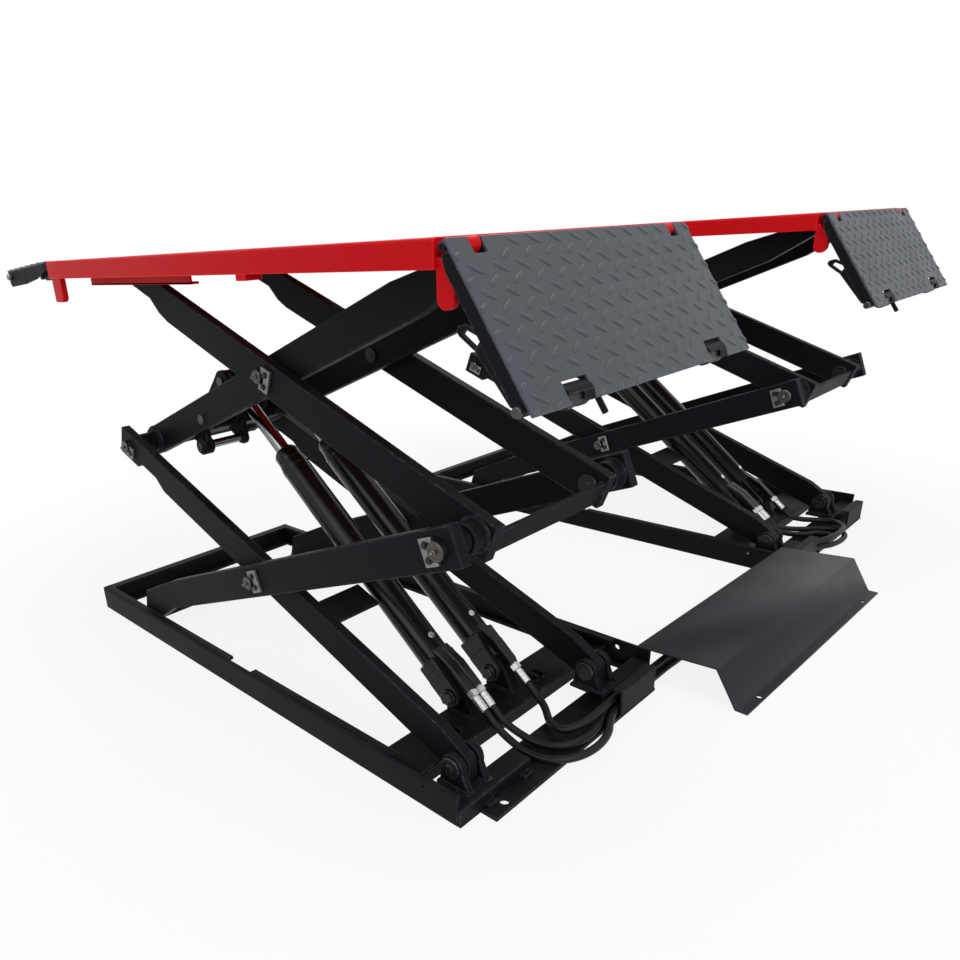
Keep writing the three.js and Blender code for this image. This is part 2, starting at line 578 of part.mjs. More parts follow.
// Cylinder barrel along +X from its lower pin, with fork, gland and hose fittings on its upper side,
// which is local -Z because the cylinder leans back
function cylinderBarrel(fittingOffsets) {
  const tine = [...arc(0, 0, FORK.radius, 90, 270), [FORK.block, -FORK.height], [FORK.block, FORK.height]];
  const glandStart = BARREL.length - BARREL.glandLength;
  const parts = [
    plate(tine, -FORK.outer, -FORK.inner),
    plate(tine, FORK.inner, FORK.outer),
    box(FORK.block - OVERRUN, FORK.length, -FORK.outer, FORK.outer, -FORK.height, FORK.height),
    rodAlongX(BARREL.radius, BARREL.start, glandStart + OVERRUN),
    rodAlongX(BARREL.gland, glandStart, BARREL.length - GLAND_LIP),
    rodAlongX(BARREL.radius - OVERRUN, BARREL.length - 2 * GLAND_LIP, BARREL.length),
  ];
  for (const y of fittingOffsets) {
    const port = FORK.length + FITTING.hexLength;
    parts.push(box(FORK.length - OVERRUN, port, y - FITTING.hex, y + FITTING.hex, -FITTING.rise, 0));
    parts.push(rodAlongX(FITTING.radius, -FITTING.reach, port, y, -FITTING.rise, SMALL_SEGMENTS));
    parts.push(rodAlongX(FITTING.hex, FITTING.hexLength, 2 * FITTING.hexLength, y, -FITTING.rise, 6));
  }
  return cut(join(parts), [
    rodAlongX(BARREL.radius - BARREL.wall, BARREL.bottom, glandStart + OVERRUN),
    rodAlongX(ROD_RADIUS + FIT, glandStart - OVERRUN, BARREL.length + OVERRUN),
    bar(CYLINDER_PIN + FIT, -FORK.outer - OVERRUN, FORK.outer + OVERRUN),
  ]);
}

// Piston rod along -X from its eye
function cylinderRod() {
  const pistonRadius = BARREL.radius - BARREL.wall - FIT;
  return join([
    rodAlongX(ROD_RADIUS, -ROD_LENGTH, -EYE.radius / 2),
    rodAlongX(pistonRadius, -ROD_LENGTH, -ROD_LENGTH + PISTON_LENGTH),
    bar(EYE.radius, -EYE.half, EYE.half),
  ]);
}

// Platform, in a frame at the top hinge pins
function platform() {
  const rear = DECK_FRONT - DECK_LENGTH;
  const under = DECK_RISE - DECK_PLATE;
  const bottom = DECK_RISE - SKIRT_HEIGHT;
  const parts = [box(rear, DECK_FRONT, -DECK_HALF, DECK_HALF, under, DECK_RISE)];
  for (const side of SIDES) {
    const y0 = side < 0 ? -DECK_HALF : DECK_HALF - SKIRT_WALL;
    parts.push(box(rear, DECK_FRONT, y0, y0 + SKIRT_WALL, bottom, under + 1));
    const outer = UPPER_OUTER + 2 * GAP + UPPER_BLOCK.width;
    const [w0, w1] = span(side, outer + TRACK.wall, outer);
    const [l0, l1] = span(side, outer + TRACK.wall, UPPER_OUTER + 2 * GAP);
    const trackBottom = DECK_RISE - TRACK.drop;
    parts.push(box(-TRACK.rear, -TRACK.front, w0, w1, trackBottom, under + 1));
    parts.push(box(-TRACK.rear, -TRACK.front, l0, l1, trackBottom, trackBottom + TRACK.lip));
    const ear = [[-HINGE_EAR.radius, under + 1], ...arc(0, 0, HINGE_EAR.radius, 180, 360), [HINGE_EAR.radius, under + 1]];
    const out = UPPER_INNER + HINGE_EAR.gap;
    const inn = UPPER_INNER - PLATE - HINGE_EAR.gap;
    parts.push(plate(ear, ...span(side, out + HINGE_EAR.thickness, out)));
    parts.push(plate(ear, ...span(side, inn, inn - HINGE_EAR.thickness)));
    parts.push(bar(HINGE_EAR.pin, ...span(side, out + HINGE_EAR.thickness, inn - HINGE_EAR.thickness)));
    const blockY = side * (DECK_HALF - SKIRT_WALL - STOP_BLOCK.width);
    parts.push(
      box(
        -STOP_BLOCK.x,
        -STOP_BLOCK.x + STOP_BLOCK.length,
        Math.min(blockY, side * (DECK_HALF - 1)),
        Math.max(blockY, side * (DECK_HALF - 1)),
        bottom - STOP_BLOCK.depth,
        bottom + STOP_BLOCK.depth,
      ),
    );
    const toe = [
      [DECK_FRONT - FRONT_LUG.back, 0],
      ...arc(DECK_FRONT - FRONT_LUG.back + FRONT_LUG.length / 2, -FRONT_LUG.drop, FRONT_LUG.length / 2, 180, 360, 5),
      [DECK_FRONT - FRONT_LUG.back + FRONT_LUG.length, -FRONT_LUG.drop / 2],
      [DECK_FRONT, 0],
    ];
    const [t0, t1] = [FRONT_LUG.inner, FRONT_LUG.outer].map((inset) => side * (DECK_HALF - inset));
    parts.push(plate(toe, Math.min(t0, t1), Math.max(t0, t1)));
    const lugY = side * (DECK_HALF - REAR_LUG.inset);
    parts.push(
      plate(
        [
          [rear + 1, under + 1],
          ...arc(rear + REAR_LUG.length, bottom - REAR_LUG.drop + REAR_LUG.length, REAR_LUG.length, 180, 320, 3),
          [rear + 2 * REAR_LUG.length, under + 1],
        ],
        lugY - REAR_LUG.thickness / 2,
        lugY + REAR_LUG.thickness / 2,
      ),
    );
  }
  parts.push(box(DECK_FRONT - END_WALL, DECK_FRONT, -DECK_HALF, DECK_HALF, bottom, under + 1));
  parts.push(box(rear, rear + END_WALL, -DECK_HALF, DECK_HALF, bottom, under + 1));
  const axisZ = DECK_RISE - RAMP.top;
  for (const [end, out] of [[DECK_FRONT, 1], [rear, -1]]) {
    const axisX = end + out * RAMP_HINGE_OUT;
    for (const y of RAMP_LUGS) {
      const profile = [
        [-RAMP_HINGE_OUT - END_WALL / 2, RAMP_LUG.radius / 2],
        [-RAMP_HINGE_OUT - END_WALL / 2, -SKIRT_HEIGHT + RAMP.top + 1],
        ...arc(0, 0, RAMP_LUG.radius, -40, 90, 4),
      ].map(([x, z]) => [axisX + out * x, axisZ + z]);
      if (out < 0) profile.reverse();
      parts.push(plate(profile, y - RAMP_LUG.thickness / 2, y + RAMP_LUG.thickness / 2));
    }
    const reach = RAMP_LUG.thickness / 2 + RAMP_LUG.gap + RAMP_LUG.earThickness;
    for (const y of RAMP_LUGS) parts.push(bar(RAMP_LUG.pin, y - reach, y + reach, axisX, axisZ, SMALL_SEGMENTS));
  }
  return join(parts);
}

// Ramp: checker plate with ribs, hinge ears and roller brackets. Hinge at the origin, tip at +X.
function ramp() {
  const under = RAMP.top - RAMP.plate;
  const low = under - RAMP.rib;
  const outline = [
    [-RAMP.back, under],
    [-RAMP.back, RAMP.top],
    [RAMP.length, RAMP.top],
    [RAMP.length, under],
  ];
  const rib = [
    [RAMP.root, under + 1],
    [RAMP.root, low / 2],
    [RAMP.root + RAMP.rib, low],
    [RAMP.length - RAMP.rib, low],
    [RAMP.length - RAMP.ribWall, under + 1],
  ];
  const parts = [plate(outline, -RAMP.half, RAMP.half)];
  for (const y of [-RAMP.half + RAMP.ribWall / 2, ...RAMP_RIBS, RAMP.half - RAMP.ribWall / 2])
    parts.push(plate(rib, y - RAMP.ribWall / 2, y + RAMP.ribWall / 2));
  for (const y of RAMP_LUGS)
    for (const side of SIDES) {
      if (Math.abs(y + side * RAMP_LUG.earThickness) > RAMP.half - RAMP_LUG.thickness) continue;
      const a = y + side * (RAMP_LUG.thickness / 2 + RAMP_LUG.gap);
      const b = a + side * RAMP_LUG.earThickness;
      const ear = [
        ...arc(0, 0, RAMP_LUG.radius - 1, 90, 270, 4),
        [RAMP.root + RAMP.rib, low / 2],
        [RAMP.root + RAMP.rib, under + 1],
        [RAMP.root, under + 1],
      ];
      parts.push(plate(ear, Math.min(a, b), Math.max(a, b)));
    }
  const axleX = RAMP.length - ROLLER.inset;
  const axleZ = -ROLLER.drop;
  const cuts = [];
  for (const side of SIDES) {
    for (const edge of SIDES) {
      const y = side * ROLLER.y + edge * (ROLLER.notchHalf + RAMP.ribWall / 2);
      const bracket = [
        ...arc(axleX, axleZ, ROLLER.axle + RAMP.ribWall, 180, 360, 4),
        [RAMP.length, under + 1],
        [axleX - 2 * ROLLER.inset, under + 1],
      ];
      parts.push(plate(bracket, y - RAMP.ribWall / 2, y + RAMP.ribWall / 2));
    }
    const y = side * ROLLER.y;
    const tip = RAMP.length + OVERRUN;
    cuts.push(box(RAMP.length - ROLLER.notchDepth, tip, y - ROLLER.notchHalf, y + ROLLER.notchHalf, low - 1, RAMP.top + 1));
  }
  const lugCut = RAMP_LUG.thickness / 2 + RAMP_LUG.gap;
  for (const y of RAMP_LUGS)
    cuts.push(box(-RAMP.back - 1, RAMP.root + RAMP_LUG.radius, y - lugCut, y + lugCut, low - 1, RAMP.top + 1));
  cuts.push(bar(RAMP_LUG.pin + FIT, -RAMP.half - 1, RAMP.half + 1, 0, 0, SMALL_SEGMENTS));
  cuts.push(bar(ROLLER.axle + FIT, -RAMP.half + 2 * RAMP.ribWall, RAMP.half - 2 * RAMP.ribWall, axleX, axleZ, SMALL_SEGMENTS));
  return cut(join(parts), cuts);
}

// Axle with the two tip rollers, on its own axis
function rampRollers() {
  const reach = ROLLER.y + ROLLER.notchHalf + 2 * RAMP.ribWall;
  return join([
    bar(ROLLER.axle, -reach, reach, 0, 0, SMALL_SEGMENTS),
    ...SIDES.map((side) => bar(ROLLER.radius, side * ROLLER.y - ROLLER.half, side * ROLLER.y + ROLLER.half)),
  ]);
}

// Bent hose cover between the units
function hoseCover() {
  const t = COVER.sheet;
  const sheet = [
    [COVER.back, COVER.backZ],
    [COVER.ridge, COVER.ridgeZ],
    [COVER.fold, t],
    [COVER.fold + COVER.foot, t],
    [COVER.fold + COVER.foot, 0],
    [COVER.fold - t, 0],
    [COVER.ridge - t, COVER.ridgeZ - t - 1],
    [COVER.back, COVER.backZ - t],
  ];
  const leg = [
    [COVER.back, COVER.backZ - 1],
    [COVER.back + t, COVER.backZ - 1],
    [COVER.back + t, COVER.backZ - COVER.legDepth],
    [COVER.back, COVER.backZ - COVER.legDepth],
  ];
  return join([
    plate(sheet.reverse(), COVER.middle - COVER.half, COVER.middle + COVER.half),
    plate(leg.reverse(), 2 - COVER.leg, COVER.leg - 2),
  ]);
}

// A hose as a faceted tube along its hand-placed route
function hose(points) {
  const curve = new THREE.CatmullRomCurve3(points.map((p) => new THREE.Vector3(...p)), false, "centripetal");
  const ring = Array.from({ length: HOSE_SIDES }, (_, i) => {
    const angle = ((i + 0.5) / HOSE_SIDES) * 2 * Math.PI;
    return new THREE.Vector2(HOSE * Math.cos(angle), HOSE * Math.sin(angle));
  });
  const steps = Math.max(4, Math.round(curve.getLength() / HOSE_STEP));
  const geometry = new THREE.ExtrudeGeometry(new THREE.Shape(ring), { steps, bevelEnabled: false, extrudePath: curve });
  return toSolid(geometry);
}

// Assembly
const root = new THREE.Group();
const geometries = new Map();
function once(key, make) {
  if (!geometries.has(key)) geometries.set(key, toGeometry(make()));
  return geometries.get(key);
}
function place(parent, name, geometry, material, x = 0, y = 0, z = 0, turn = 0) {
  const mesh = new THREE.Mesh(geometry, material);
  mesh.name = name;
  mesh.position.set(x, y, z);
  mesh.rotation.y = turn;
  parent.add(mesh);
  return mesh;
}
const groupAt = (parent, x, z, turn) => {
  const group = new THREE.Group();
  group.position.set(x, 0, z);
  group.rotation.y = turn;
  parent.add(group);
  return group;
};

function addUnit(prefix, y, guardSides) {
  const unit = new THREE.Group();
  unit.position.y = y;
  root.add(unit);
  const name = (part) => `${prefix}_${part}`;
  place(unit, name("base_frame"), toGeometry(baseFrame(guardSides)), FRAME_PAINT);

  const lowerOuter = groupAt(unit, -SPAN, HINGE_HEIGHT, -REST);
  place(lowerOuter, name("lower_outer_arms"), once("lowerOuter", lowerOuterArms), FRAME_PAINT);
  const lowerInner = groupAt(unit, 0, HINGE_HEIGHT, REST);
  place(lowerInner, name("lower_inner_arms"), once("lowerInner", lowerInnerArms), FRAME_PAINT);
  const upperOuter = groupAt(unit, 0, MID_HEIGHT, REST);
  place(upperOuter, name("upper_outer_arms"), once("upperOuter", upperOuterArms), FRAME_PAINT);
  const upperInner = groupAt(unit, -SPAN, MID_HEIGHT, -REST);
  place(upperInner, name("upper_inner_arms"), once("upperInner", upperInnerArms), FRAME_PAINT);

  for (const side of SIDES) {
    const where = side < 0 ? "left" : "right";
    const pinAt = (group, part, key, make, x) =>
      place(group, name(`${part}_${where}`), once(`${key}${side}`, make), ZINC, x);
    const innerFace = LOWER_INNER - PLATE;
    pinAt(lowerOuter, "lower_centre_pin", "lc", () => jointPin(side, CENTRE_PIN, LOWER_OUTER, innerFace, 1), HALF_ARM);
    pinAt(lowerOuter, "outer_joint_pin", "om", () => jointPin(side, MID_PIN, LOWER_OUTER, UPPER_OUTER - PLATE, -1), ARM);
    const deckFace = UPPER_INNER - PLATE;
    pinAt(upperOuter, "upper_centre_pin", "uc", () => jointPin(side, CENTRE_PIN, UPPER_OUTER, deckFace, 1), -HALF_ARM);
    pinAt(lowerInner, "inner_joint_pin", "im", () => plugPin(side), -ARM);
  }

  const dropX = SLIDER_DROP * SIN;
  const dropZ = SLIDER_DROP * COS;
  place(unit, name("lower_slide_axle"), once("lowerAxle", lowerSlideAxle), CHROME, -SPAN + dropX, 0, HINGE_HEIGHT - dropZ);
  place(unit, name("upper_slide_axle"), once("upperAxle", upperSlideAxle), CHROME, -SPAN, 0, TOP_HEIGHT);

  place(unit, name("platform"), once("platform", platform), DECK_PAINT, 0, 0, TOP_HEIGHT);
  const hingeZ = TOP_HEIGHT + DECK_RISE - RAMP.top;
  const ends = [
    ["front", DECK_FRONT + RAMP_HINGE_OUT, FRONT_DROOP],
    ["rear", DECK_FRONT - DECK_LENGTH - RAMP_HINGE_OUT, REAR_DROOP],
  ];
  for (const [end, x, droop] of ends) {
    const hinge = new THREE.Group();
    hinge.position.set(x, 0, hingeZ);
    if (end === "rear") hinge.rotation.z = Math.PI;
    unit.add(hinge);
    const leaf = groupAt(hinge, 0, 0, droop);
    place(leaf, name(`${end}_ramp`), once("ramp", ramp), RAMP_PAINT);
    place(leaf, name(`${end}_ramp_rollers`), once("rollers", rampRollers), BLACK, RAMP.length - ROLLER.inset, 0, -ROLLER.drop);
  }

  CYLINDERS.forEach((cylinderY, i) => {
    const stand = new THREE.Group();
    stand.position.set(-CYLINDER_X, cylinderY, CYLINDER_Z);
    stand.rotation.y = Math.PI + PITCH;
    unit.add(stand);
    const offsets = i === 0 ? [-FITTING.pair, FITTING.pair] : [0];
    place(stand, name(`cylinder_${i + 1}_barrel`), once(`barrel${i}`, () => cylinderBarrel(offsets)), BLACK);
    place(stand, name(`cylinder_${i + 1}_rod`), once("rod", cylinderRod), CHROME, REACH);
  });
}

// Both units are drawn alike, so one set of numbers gives where a cylinder leans and its hoses start.
const LUG_X = -SPAN + LUG.x * COS - LUG.z * SIN;
const LUG_Z = MID_HEIGHT + LUG.x * SIN + LUG.z * COS;
const REACH = Math.hypot(LUG_X + CYLINDER_X, LUG_Z - CYLINDER_Z);
const PITCH = Math.atan2(LUG_Z - CYLINDER_Z, -CYLINDER_X - LUG_X);

function hoseLead([cylinder, offset]) {
  const out = [Math.cos(PITCH), -Math.sin(PITCH)];
  const up = [Math.sin(PITCH), Math.cos(PITCH)];
  return [FITTING.reach + GAP, FITTING.reach + GAP + HOSE_LEAD].map((along) => [
    -CYLINDER_X + along * out[0] + FITTING.rise * up[0],
    CYLINDERS[cylinder] + offset,
    CYLINDER_Z + along * out[1] + FITTING.rise * up[1],
  ]);
}

function addHoses() {
  const half = UNIT_SPACING / 2;
  HOSE_FITTINGS.forEach((fitting, i) => {
    const toRoot = (y) => (points) => points.map(([x, py, z]) => [x, py + y, z]);
    const slot = GUARD_HOSES[i];
    const near = [...hoseLead(fitting), ...NEAR_LOOPS[i], ...GUARD_REACH.map((y) => [slot[0], y, slot[1]])];
    place(root, `near_hose_${i + 1}`, toGeometry(hose(toRoot(-half)(near))), RUBBER);
    const farSlot = GUARD_HOSES[FAR_ORDER[i]];
    const far = [...hoseLead(fitting), ...FAR_LOOPS[i], ...GUARD_REACH.map((y) => [farSlot[0], -y, farSlot[1]])];
    place(root, `far_hose_${i + 1}`, toGeometry(hose(toRoot(half)(far))), RUBBER);
    const end = half - GUARD_REACH.at(-1) - HOSE_GAP;
    const row = slot[1] > LOW_ROW ? 2 : 1;
    const crossing = [
      ...[end, end - STRAIGHT].map((y) => [slot[0], y, slot[1]]),
      ...CROSSING.map((point) => [slot[0], point[0], point[row]]),
      ...[STRAIGHT - end, -end].map((y) => [slot[0], y, slot[1]]),
    ];
    place(root, `crossing_hose_${i + 1}`, toGeometry(hose(crossing)), RUBBER);
  });
}

addUnit("near", -UNIT_SPACING / 2, [1]);
addUnit("far", UNIT_SPACING / 2, [-1, 1]);
addHoses();
const cover = new THREE.Group();
cover.position.set(COVER.back, COVER.middle - COVER.half, 0);
cover.rotation.z = COVER_TURN;
root.add(cover);
place(cover, "hose_cover", toGeometry(hoseCover()), RAMP_PAINT, -COVER.back, COVER.half - COVER.middle);

// The origin is under the middle of the whole lift, on the floor.
root.updateMatrixWorld(true);
const bounds = new THREE.Box3().setFromObject(root);
const centre = bounds.getCenter(new THREE.Vector3());
root.children.forEach((child) => child.position.sub(new THREE.Vector3(centre.x, centre.y, bounds.min.z)));

export default root;
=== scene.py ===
"""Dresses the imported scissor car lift: paint, turned steel, checker plate, hoses, camera and stage."""

import bpy
import bmesh
import math
import random

from mathutils import Matrix, Vector


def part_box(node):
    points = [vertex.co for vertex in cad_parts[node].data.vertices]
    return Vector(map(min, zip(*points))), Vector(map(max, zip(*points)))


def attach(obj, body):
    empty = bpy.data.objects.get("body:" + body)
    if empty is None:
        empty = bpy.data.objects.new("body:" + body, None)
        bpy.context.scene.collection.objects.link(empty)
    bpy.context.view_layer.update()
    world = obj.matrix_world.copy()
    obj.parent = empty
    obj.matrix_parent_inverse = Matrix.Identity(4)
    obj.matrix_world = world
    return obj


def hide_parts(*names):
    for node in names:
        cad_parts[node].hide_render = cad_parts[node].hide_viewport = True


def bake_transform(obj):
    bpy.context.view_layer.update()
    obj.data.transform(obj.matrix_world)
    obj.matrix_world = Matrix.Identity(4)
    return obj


bl_info = {
    "name": "Scissor Car Lift",
    "version": (1, 0, 0),
    "blender": (4, 5, 0),
    "location": "View3D > Sidebar > Scissor Lift",
    "description": "Builds the visible pieces of a double scissor car lift around its packed frame",
    "category": "Object",
}

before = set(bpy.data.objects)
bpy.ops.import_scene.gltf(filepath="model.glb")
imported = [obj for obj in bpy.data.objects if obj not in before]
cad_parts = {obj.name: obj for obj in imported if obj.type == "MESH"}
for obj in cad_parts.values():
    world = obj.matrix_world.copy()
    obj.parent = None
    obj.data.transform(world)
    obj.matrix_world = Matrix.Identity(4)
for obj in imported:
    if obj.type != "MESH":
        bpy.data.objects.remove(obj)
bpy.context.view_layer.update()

MM = 0.001
UNITS = {"near": -0.66, "far": 0.66}
SIDES = {-1: "left", 1: "right"}

# Linkage, in millimetres of each unit: X from the base hinge, Y from the unit's middle, Z from the floor
HALF_ARM = 557
ARM = 2 * HALF_ARM
REST = math.radians(21.15)
HINGE_Z = 72
SPAN = ARM * math.cos(REST)
MID_Z = HINGE_Z + ARM * math.sin(REST)
TOP_Z = HINGE_Z + 2 * ARM * math.sin(REST)
ARM_SHIFT = -41
FOOT_REACH = 88
SHIFT_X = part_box("near_base_frame")[1].x - FOOT_REACH * MM

# Arms: plate thickness, half depth, and each frame's outer distance from the stack's middle
PLATE, HALF_DEPTH = 22, 34
OUTER = {"lower_outer": 251, "lower_inner": 217, "upper_outer": 171, "upper_inner": 143}
LOWER_OUTER, LOWER_INNER, UPPER_OUTER, UPPER_INNER = OUTER.values()
CENTRE_PIN, MID_PIN, HINGE_PIN, SLIDE_DROP = 13.6, 16.6, 15, 44

# Base frames
BASE_HALF, BASE_LENGTH, BASE_FRONT, NEAR_FACE = 318, 1278, 47, 54
BASE_REAR = BASE_FRONT - BASE_LENGTH
RAIL_HEIGHT, RAIL_WALL, RAIL_FLANGE, RAIL_BEND = 61, 8, 22, 5
RAIL_LIPS = ((BASE_REAR, -627), (-541, -36))
SHELF_Z, SHELF_PLATE, WALL_Z = 26, 8, 33.6
MEMBER_REAR, MEMBER_FRONT, MEMBER_TOP, MEMBER_PLATE = -160, -60, 34, 6
GUARD_FRONT, GUARD_TOP, GUARD_PLATE, GUARD_Y = FOOT_REACH, 60, 6, (130, 262)

# Cylinders: barrels from their lower pins along X, fittings beside them
CYLINDER_Y = (-90, 34)
CYLINDER_X, CYLINDER_Z = 140, 76
LUG_U, LUG_V = 270, 58
FITTING_REACH, FITTING_RISE = 62, 37
LUG_X = -SPAN + LUG_U * math.cos(REST) - LUG_V * math.sin(REST)
LUG_Z = MID_Z + LUG_U * math.sin(REST) + LUG_V * math.cos(REST)
REACH = math.hypot(LUG_X + CYLINDER_X, LUG_Z - CYLINDER_Z)
PITCH = math.atan2(LUG_Z - CYLINDER_Z, -CYLINDER_X - LUG_X)

# Platforms and ramps
DECK_FRONT, DECK_LENGTH, DECK_HALF, DECK_RISE, DECK_PLATE, SKIRT = 18, 1200, 310, 23, 6, 38
DECK_REAR = DECK_FRONT - DECK_LENGTH
TRACK_X, TRACK_DEPTH = (-1130, -690), 58
RAMP_LENGTH, RAMP_TOP, RAMP_PLATE, RAMP_HINGE = 240, 11, 5, 13
FRONT_DROOP, REAR_DROOP = math.radians(56.3), math.radians(4)
ROLLER_X, ROLLER_Z, ROLLER_Y, NOTCH_HALF, NOTCH_DEPTH = RAMP_LENGTH - 15, -5, 198, 29, 34
KNUCKLE_Y, KNUCKLE_HALF = (-255, 255), 13.5

SHARP_EDGE, SHADING_ANGLE, CUT_SHADING_ANGLE = math.radians(38), math.radians(30), math.radians(40)
WELD_STEP, WELD_RIPPLE = 4, 0.16


def about_y(angle):
    return Matrix.Rotation(angle, 4, "Y")


def moved(x=0, y=0, z=0):
    return Matrix.Translation((x, y, z))


def unit_frame(unit):
    """Millimetres of a unit to metres of the whole lift."""
    return Matrix.Translation((SHIFT_X, UNITS[unit], 0)) @ Matrix.Scale(MM, 4)


ARM_FRAMES = {
    "lower_outer": moved(-SPAN, 0, HINGE_Z) @ about_y(-REST),
    "lower_inner": moved(0, 0, HINGE_Z) @ about_y(REST),
    "upper_outer": moved(0, 0, MID_Z) @ about_y(REST),
    "upper_inner": moved(-SPAN, 0, MID_Z) @ about_y(-REST),
}


def arc(x, z, radius, start, end, steps=12):
    """Points of an arc, from one angle to another in degrees."""
    turns = [math.radians(start + (end - start) * i / steps) for i in range(steps + 1)]
    return [(x + radius * math.cos(t), z + radius * math.sin(t)) for t in turns]


def pair(side, a, b):
    """From and to across the unit, for a solid between two distances from the unit's middle."""
    return sorted((side * a, side * b))


def span(side, a, b):
    """The same from the arm stack's middle."""
    return [ARM_SHIFT + y for y in pair(side, a, b)]


def skin(rings, sides):
    """Faces between pairs of rings, each given by the number of its first point."""
    return [(a + k, a + (k + 1) % sides, b + (k + 1) % sides, b + k) for a, b in rings for k in range(sides)]


class Shape:
    """Collects closed solids, given in millimetres of one frame, as a single mesh in metres."""

    def __init__(self, at, seed=1):
        self.bm, self.at, self.slot = bmesh.new(), at, 0
        self.chance = random.Random(seed)

    def solid(self, points, faces, chamfer=0.0):
        made = [self.bm.verts.new(self.at @ Vector(p)) for p in points]
        built = [self.bm.faces.new([made[i] for i in loop]) for loop in faces]
        for face in built:
            face.material_index = self.slot
        bmesh.ops.recalc_face_normals(self.bm, faces=built)
        if chamfer:
            edges = dict.fromkeys(e for f in built for e in f.edges)
            sharp = [e for e in edges if e.calc_face_angle(0) > SHARP_EDGE]
            bmesh.ops.bevel(self.bm, geom=sharp, offset=chamfer * MM, segments=1, affect="EDGES",
                            clamp_overlap=True, material=self.slot)

    def prism(self, outline, low, high, chamfer=1.4, axis="Y"):
        """A plate between two places on one axis. Its outline is on the other two, in their order."""
        k, n = "XYZ".index(axis), len(outline)
        points = [(*p[:k], level, *p[k:]) for level in (low, high) for p in outline]
        faces = [list(range(n)), list(range(2 * n - 1, n - 1, -1))]
        faces += [(i, (i + 1) % n, n + (i + 1) % n, n + i) for i in range(n)]
        self.solid(points, faces, chamfer)

    def box(self, x0, x1, y0, y1, z0, z1, chamfer=1.2):
        self.prism([(x0, z0), (x1, z0), (x1, z1), (x0, z1)], y0, y1, chamfer)

    def beam(self, x0, x1, half, z0, z1, chamfer=1.2):
        """A box right across the unit."""
        self.box(x0, x1, -half, half, z0, z1, chamfer)

    def turned(self, profile, centre, axis, steps):
        """A turned solid. The profile is (distance along the axis, radius) and starts and ends on the axis,
        or closes on itself round a bore."""
        basis = [Vector(row) for row in Matrix.Identity(3)]
        along = basis.pop("XYZ".index(axis))
        side, up = basis
        points, rings = [], []
        for s, r in profile:
            place = Vector(centre) + along * s
            turns = [2 * math.pi * i / steps for i in range(steps)] if r > 0 else [0]
            rings.append(range(len(points), len(points) + len(turns)))
            points += [place + (side * math.cos(t) + up * math.sin(t)) * r for t in turns]
        if profile[0][1] > 0:
            rings.append(rings[0])
        faces = []
        for a, b in zip(rings, rings[1:]):
            for i in range(steps):
                j = (i + 1) % steps
                loop = list(dict.fromkeys((a[i % len(a)], a[j % len(a)], b[j % len(b)], b[i % len(b)])))
                if len(loop) > 2:
                    faces.append(loop)
        self.solid(points, faces)

    def rod(self, radius, s0, s1, x=0.0, z=0.0, axis="Y", edge=1.0, steps=36):
        """A plain round bar with chamfered ends. For a bar along X, x is its place in Y."""
        e = min(edge, radius / 2, abs(s1 - s0) / 3)
        profile = [(s0, 0), (s0, radius - e), (s0 + e, radius), (s1 - e, radius), (s1, radius - e), (s1, 0)]
        self.turned(profile, (0, x, z) if axis == "X" else (x, 0, z), axis, steps)

    def hexagon(self, radius, s0, s1, x=0.0, z=0.0, axis="Y"):
        self.rod(radius, s0, s1, x, z, axis, radius * 0.12, 6)

    def ring(self, outer, inner, s0, s1, x=0.0, z=0.0, axis="Y", edge=0.8, steps=36):
        profile = [(s0, inner), (s0, outer - edge), (s0 + edge, outer), (s1 - edge, outer),
                   (s1, outer - edge), (s1, inner)]
        self.turned(profile, (0, x, z) if axis == "X" else (x, 0, z), axis, steps)

    def tube(self, route, radius, sides, rough=0.0):
        """A round bar along a route of points, with closed ends."""
        route = [Vector(p) for p in route]
        points, side, last = [], None, len(route) - 1
        for i, p in enumerate(route):
            ahead = (route[min(i + 1, last)] - route[max(i - 1, 0)]).normalized()
            side = side or ahead.orthogonal().normalized()
            side = (side - ahead * side.dot(ahead)).normalized()
            up = ahead.cross(side)
            size = radius * (1 + rough * self.chance.uniform(-1, 1))
            for k in range(sides):
                t = 2 * math.pi * k / sides
                points.append(p + (side * math.cos(t) + up * math.sin(t)) * size)
        ends = [range(sides - 1, -1, -1), range(last * sides, (last + 1) * sides)]
        self.solid(points, ends + skin([(i * sides, (i + 1) * sides) for i in range(last)], sides))

    def weld(self, start, end, radius):
        """A weld bead between two points, with the small ripples of its pass."""
        start, end = Vector(start), Vector(end)
        count = max(4, int((end - start).length / WELD_STEP))
        self.tube([start.lerp(end, i / count) for i in range(count + 1)], radius, 8, WELD_RIPPLE)

    def ring_weld(self, radius, y, x, z, bead):
        """A weld bead round a bar along Y."""
        steps, sides, points = max(24, int(radius * 1.4)), 6, []
        for i in range(steps):
            out = Vector((math.cos(2 * math.pi * i / steps), 0, math.sin(2 * math.pi * i / steps)))
            size = bead * (1 + WELD_RIPPLE * self.chance.uniform(-1, 1))
            for k in range(sides):
                a = 2 * math.pi * k / sides
                points.append(Vector((x, y, z)) + out * radius
                              + (out * math.cos(a) + Vector((0, 1, 0)) * math.sin(a)) * size)
        self.solid(points, skin([(i * sides, (i + 1) % steps * sides) for i in range(steps)], sides))

    def made(self, name, finishes=()):
        """Ends the shape as an object."""
        mesh = bpy.data.meshes.new(name)
        for face in self.bm.faces:
            face.smooth = True
        self.bm.to_mesh(mesh)
        self.bm.free()
        mesh.set_sharp_from_angle(angle=SHADING_ANGLE)
        for key in finishes:
            mesh.materials.append(finish(key))
        piece = bpy.data.objects.new(name, mesh)
        bpy.context.scene.collection.objects.link(piece)
        return piece

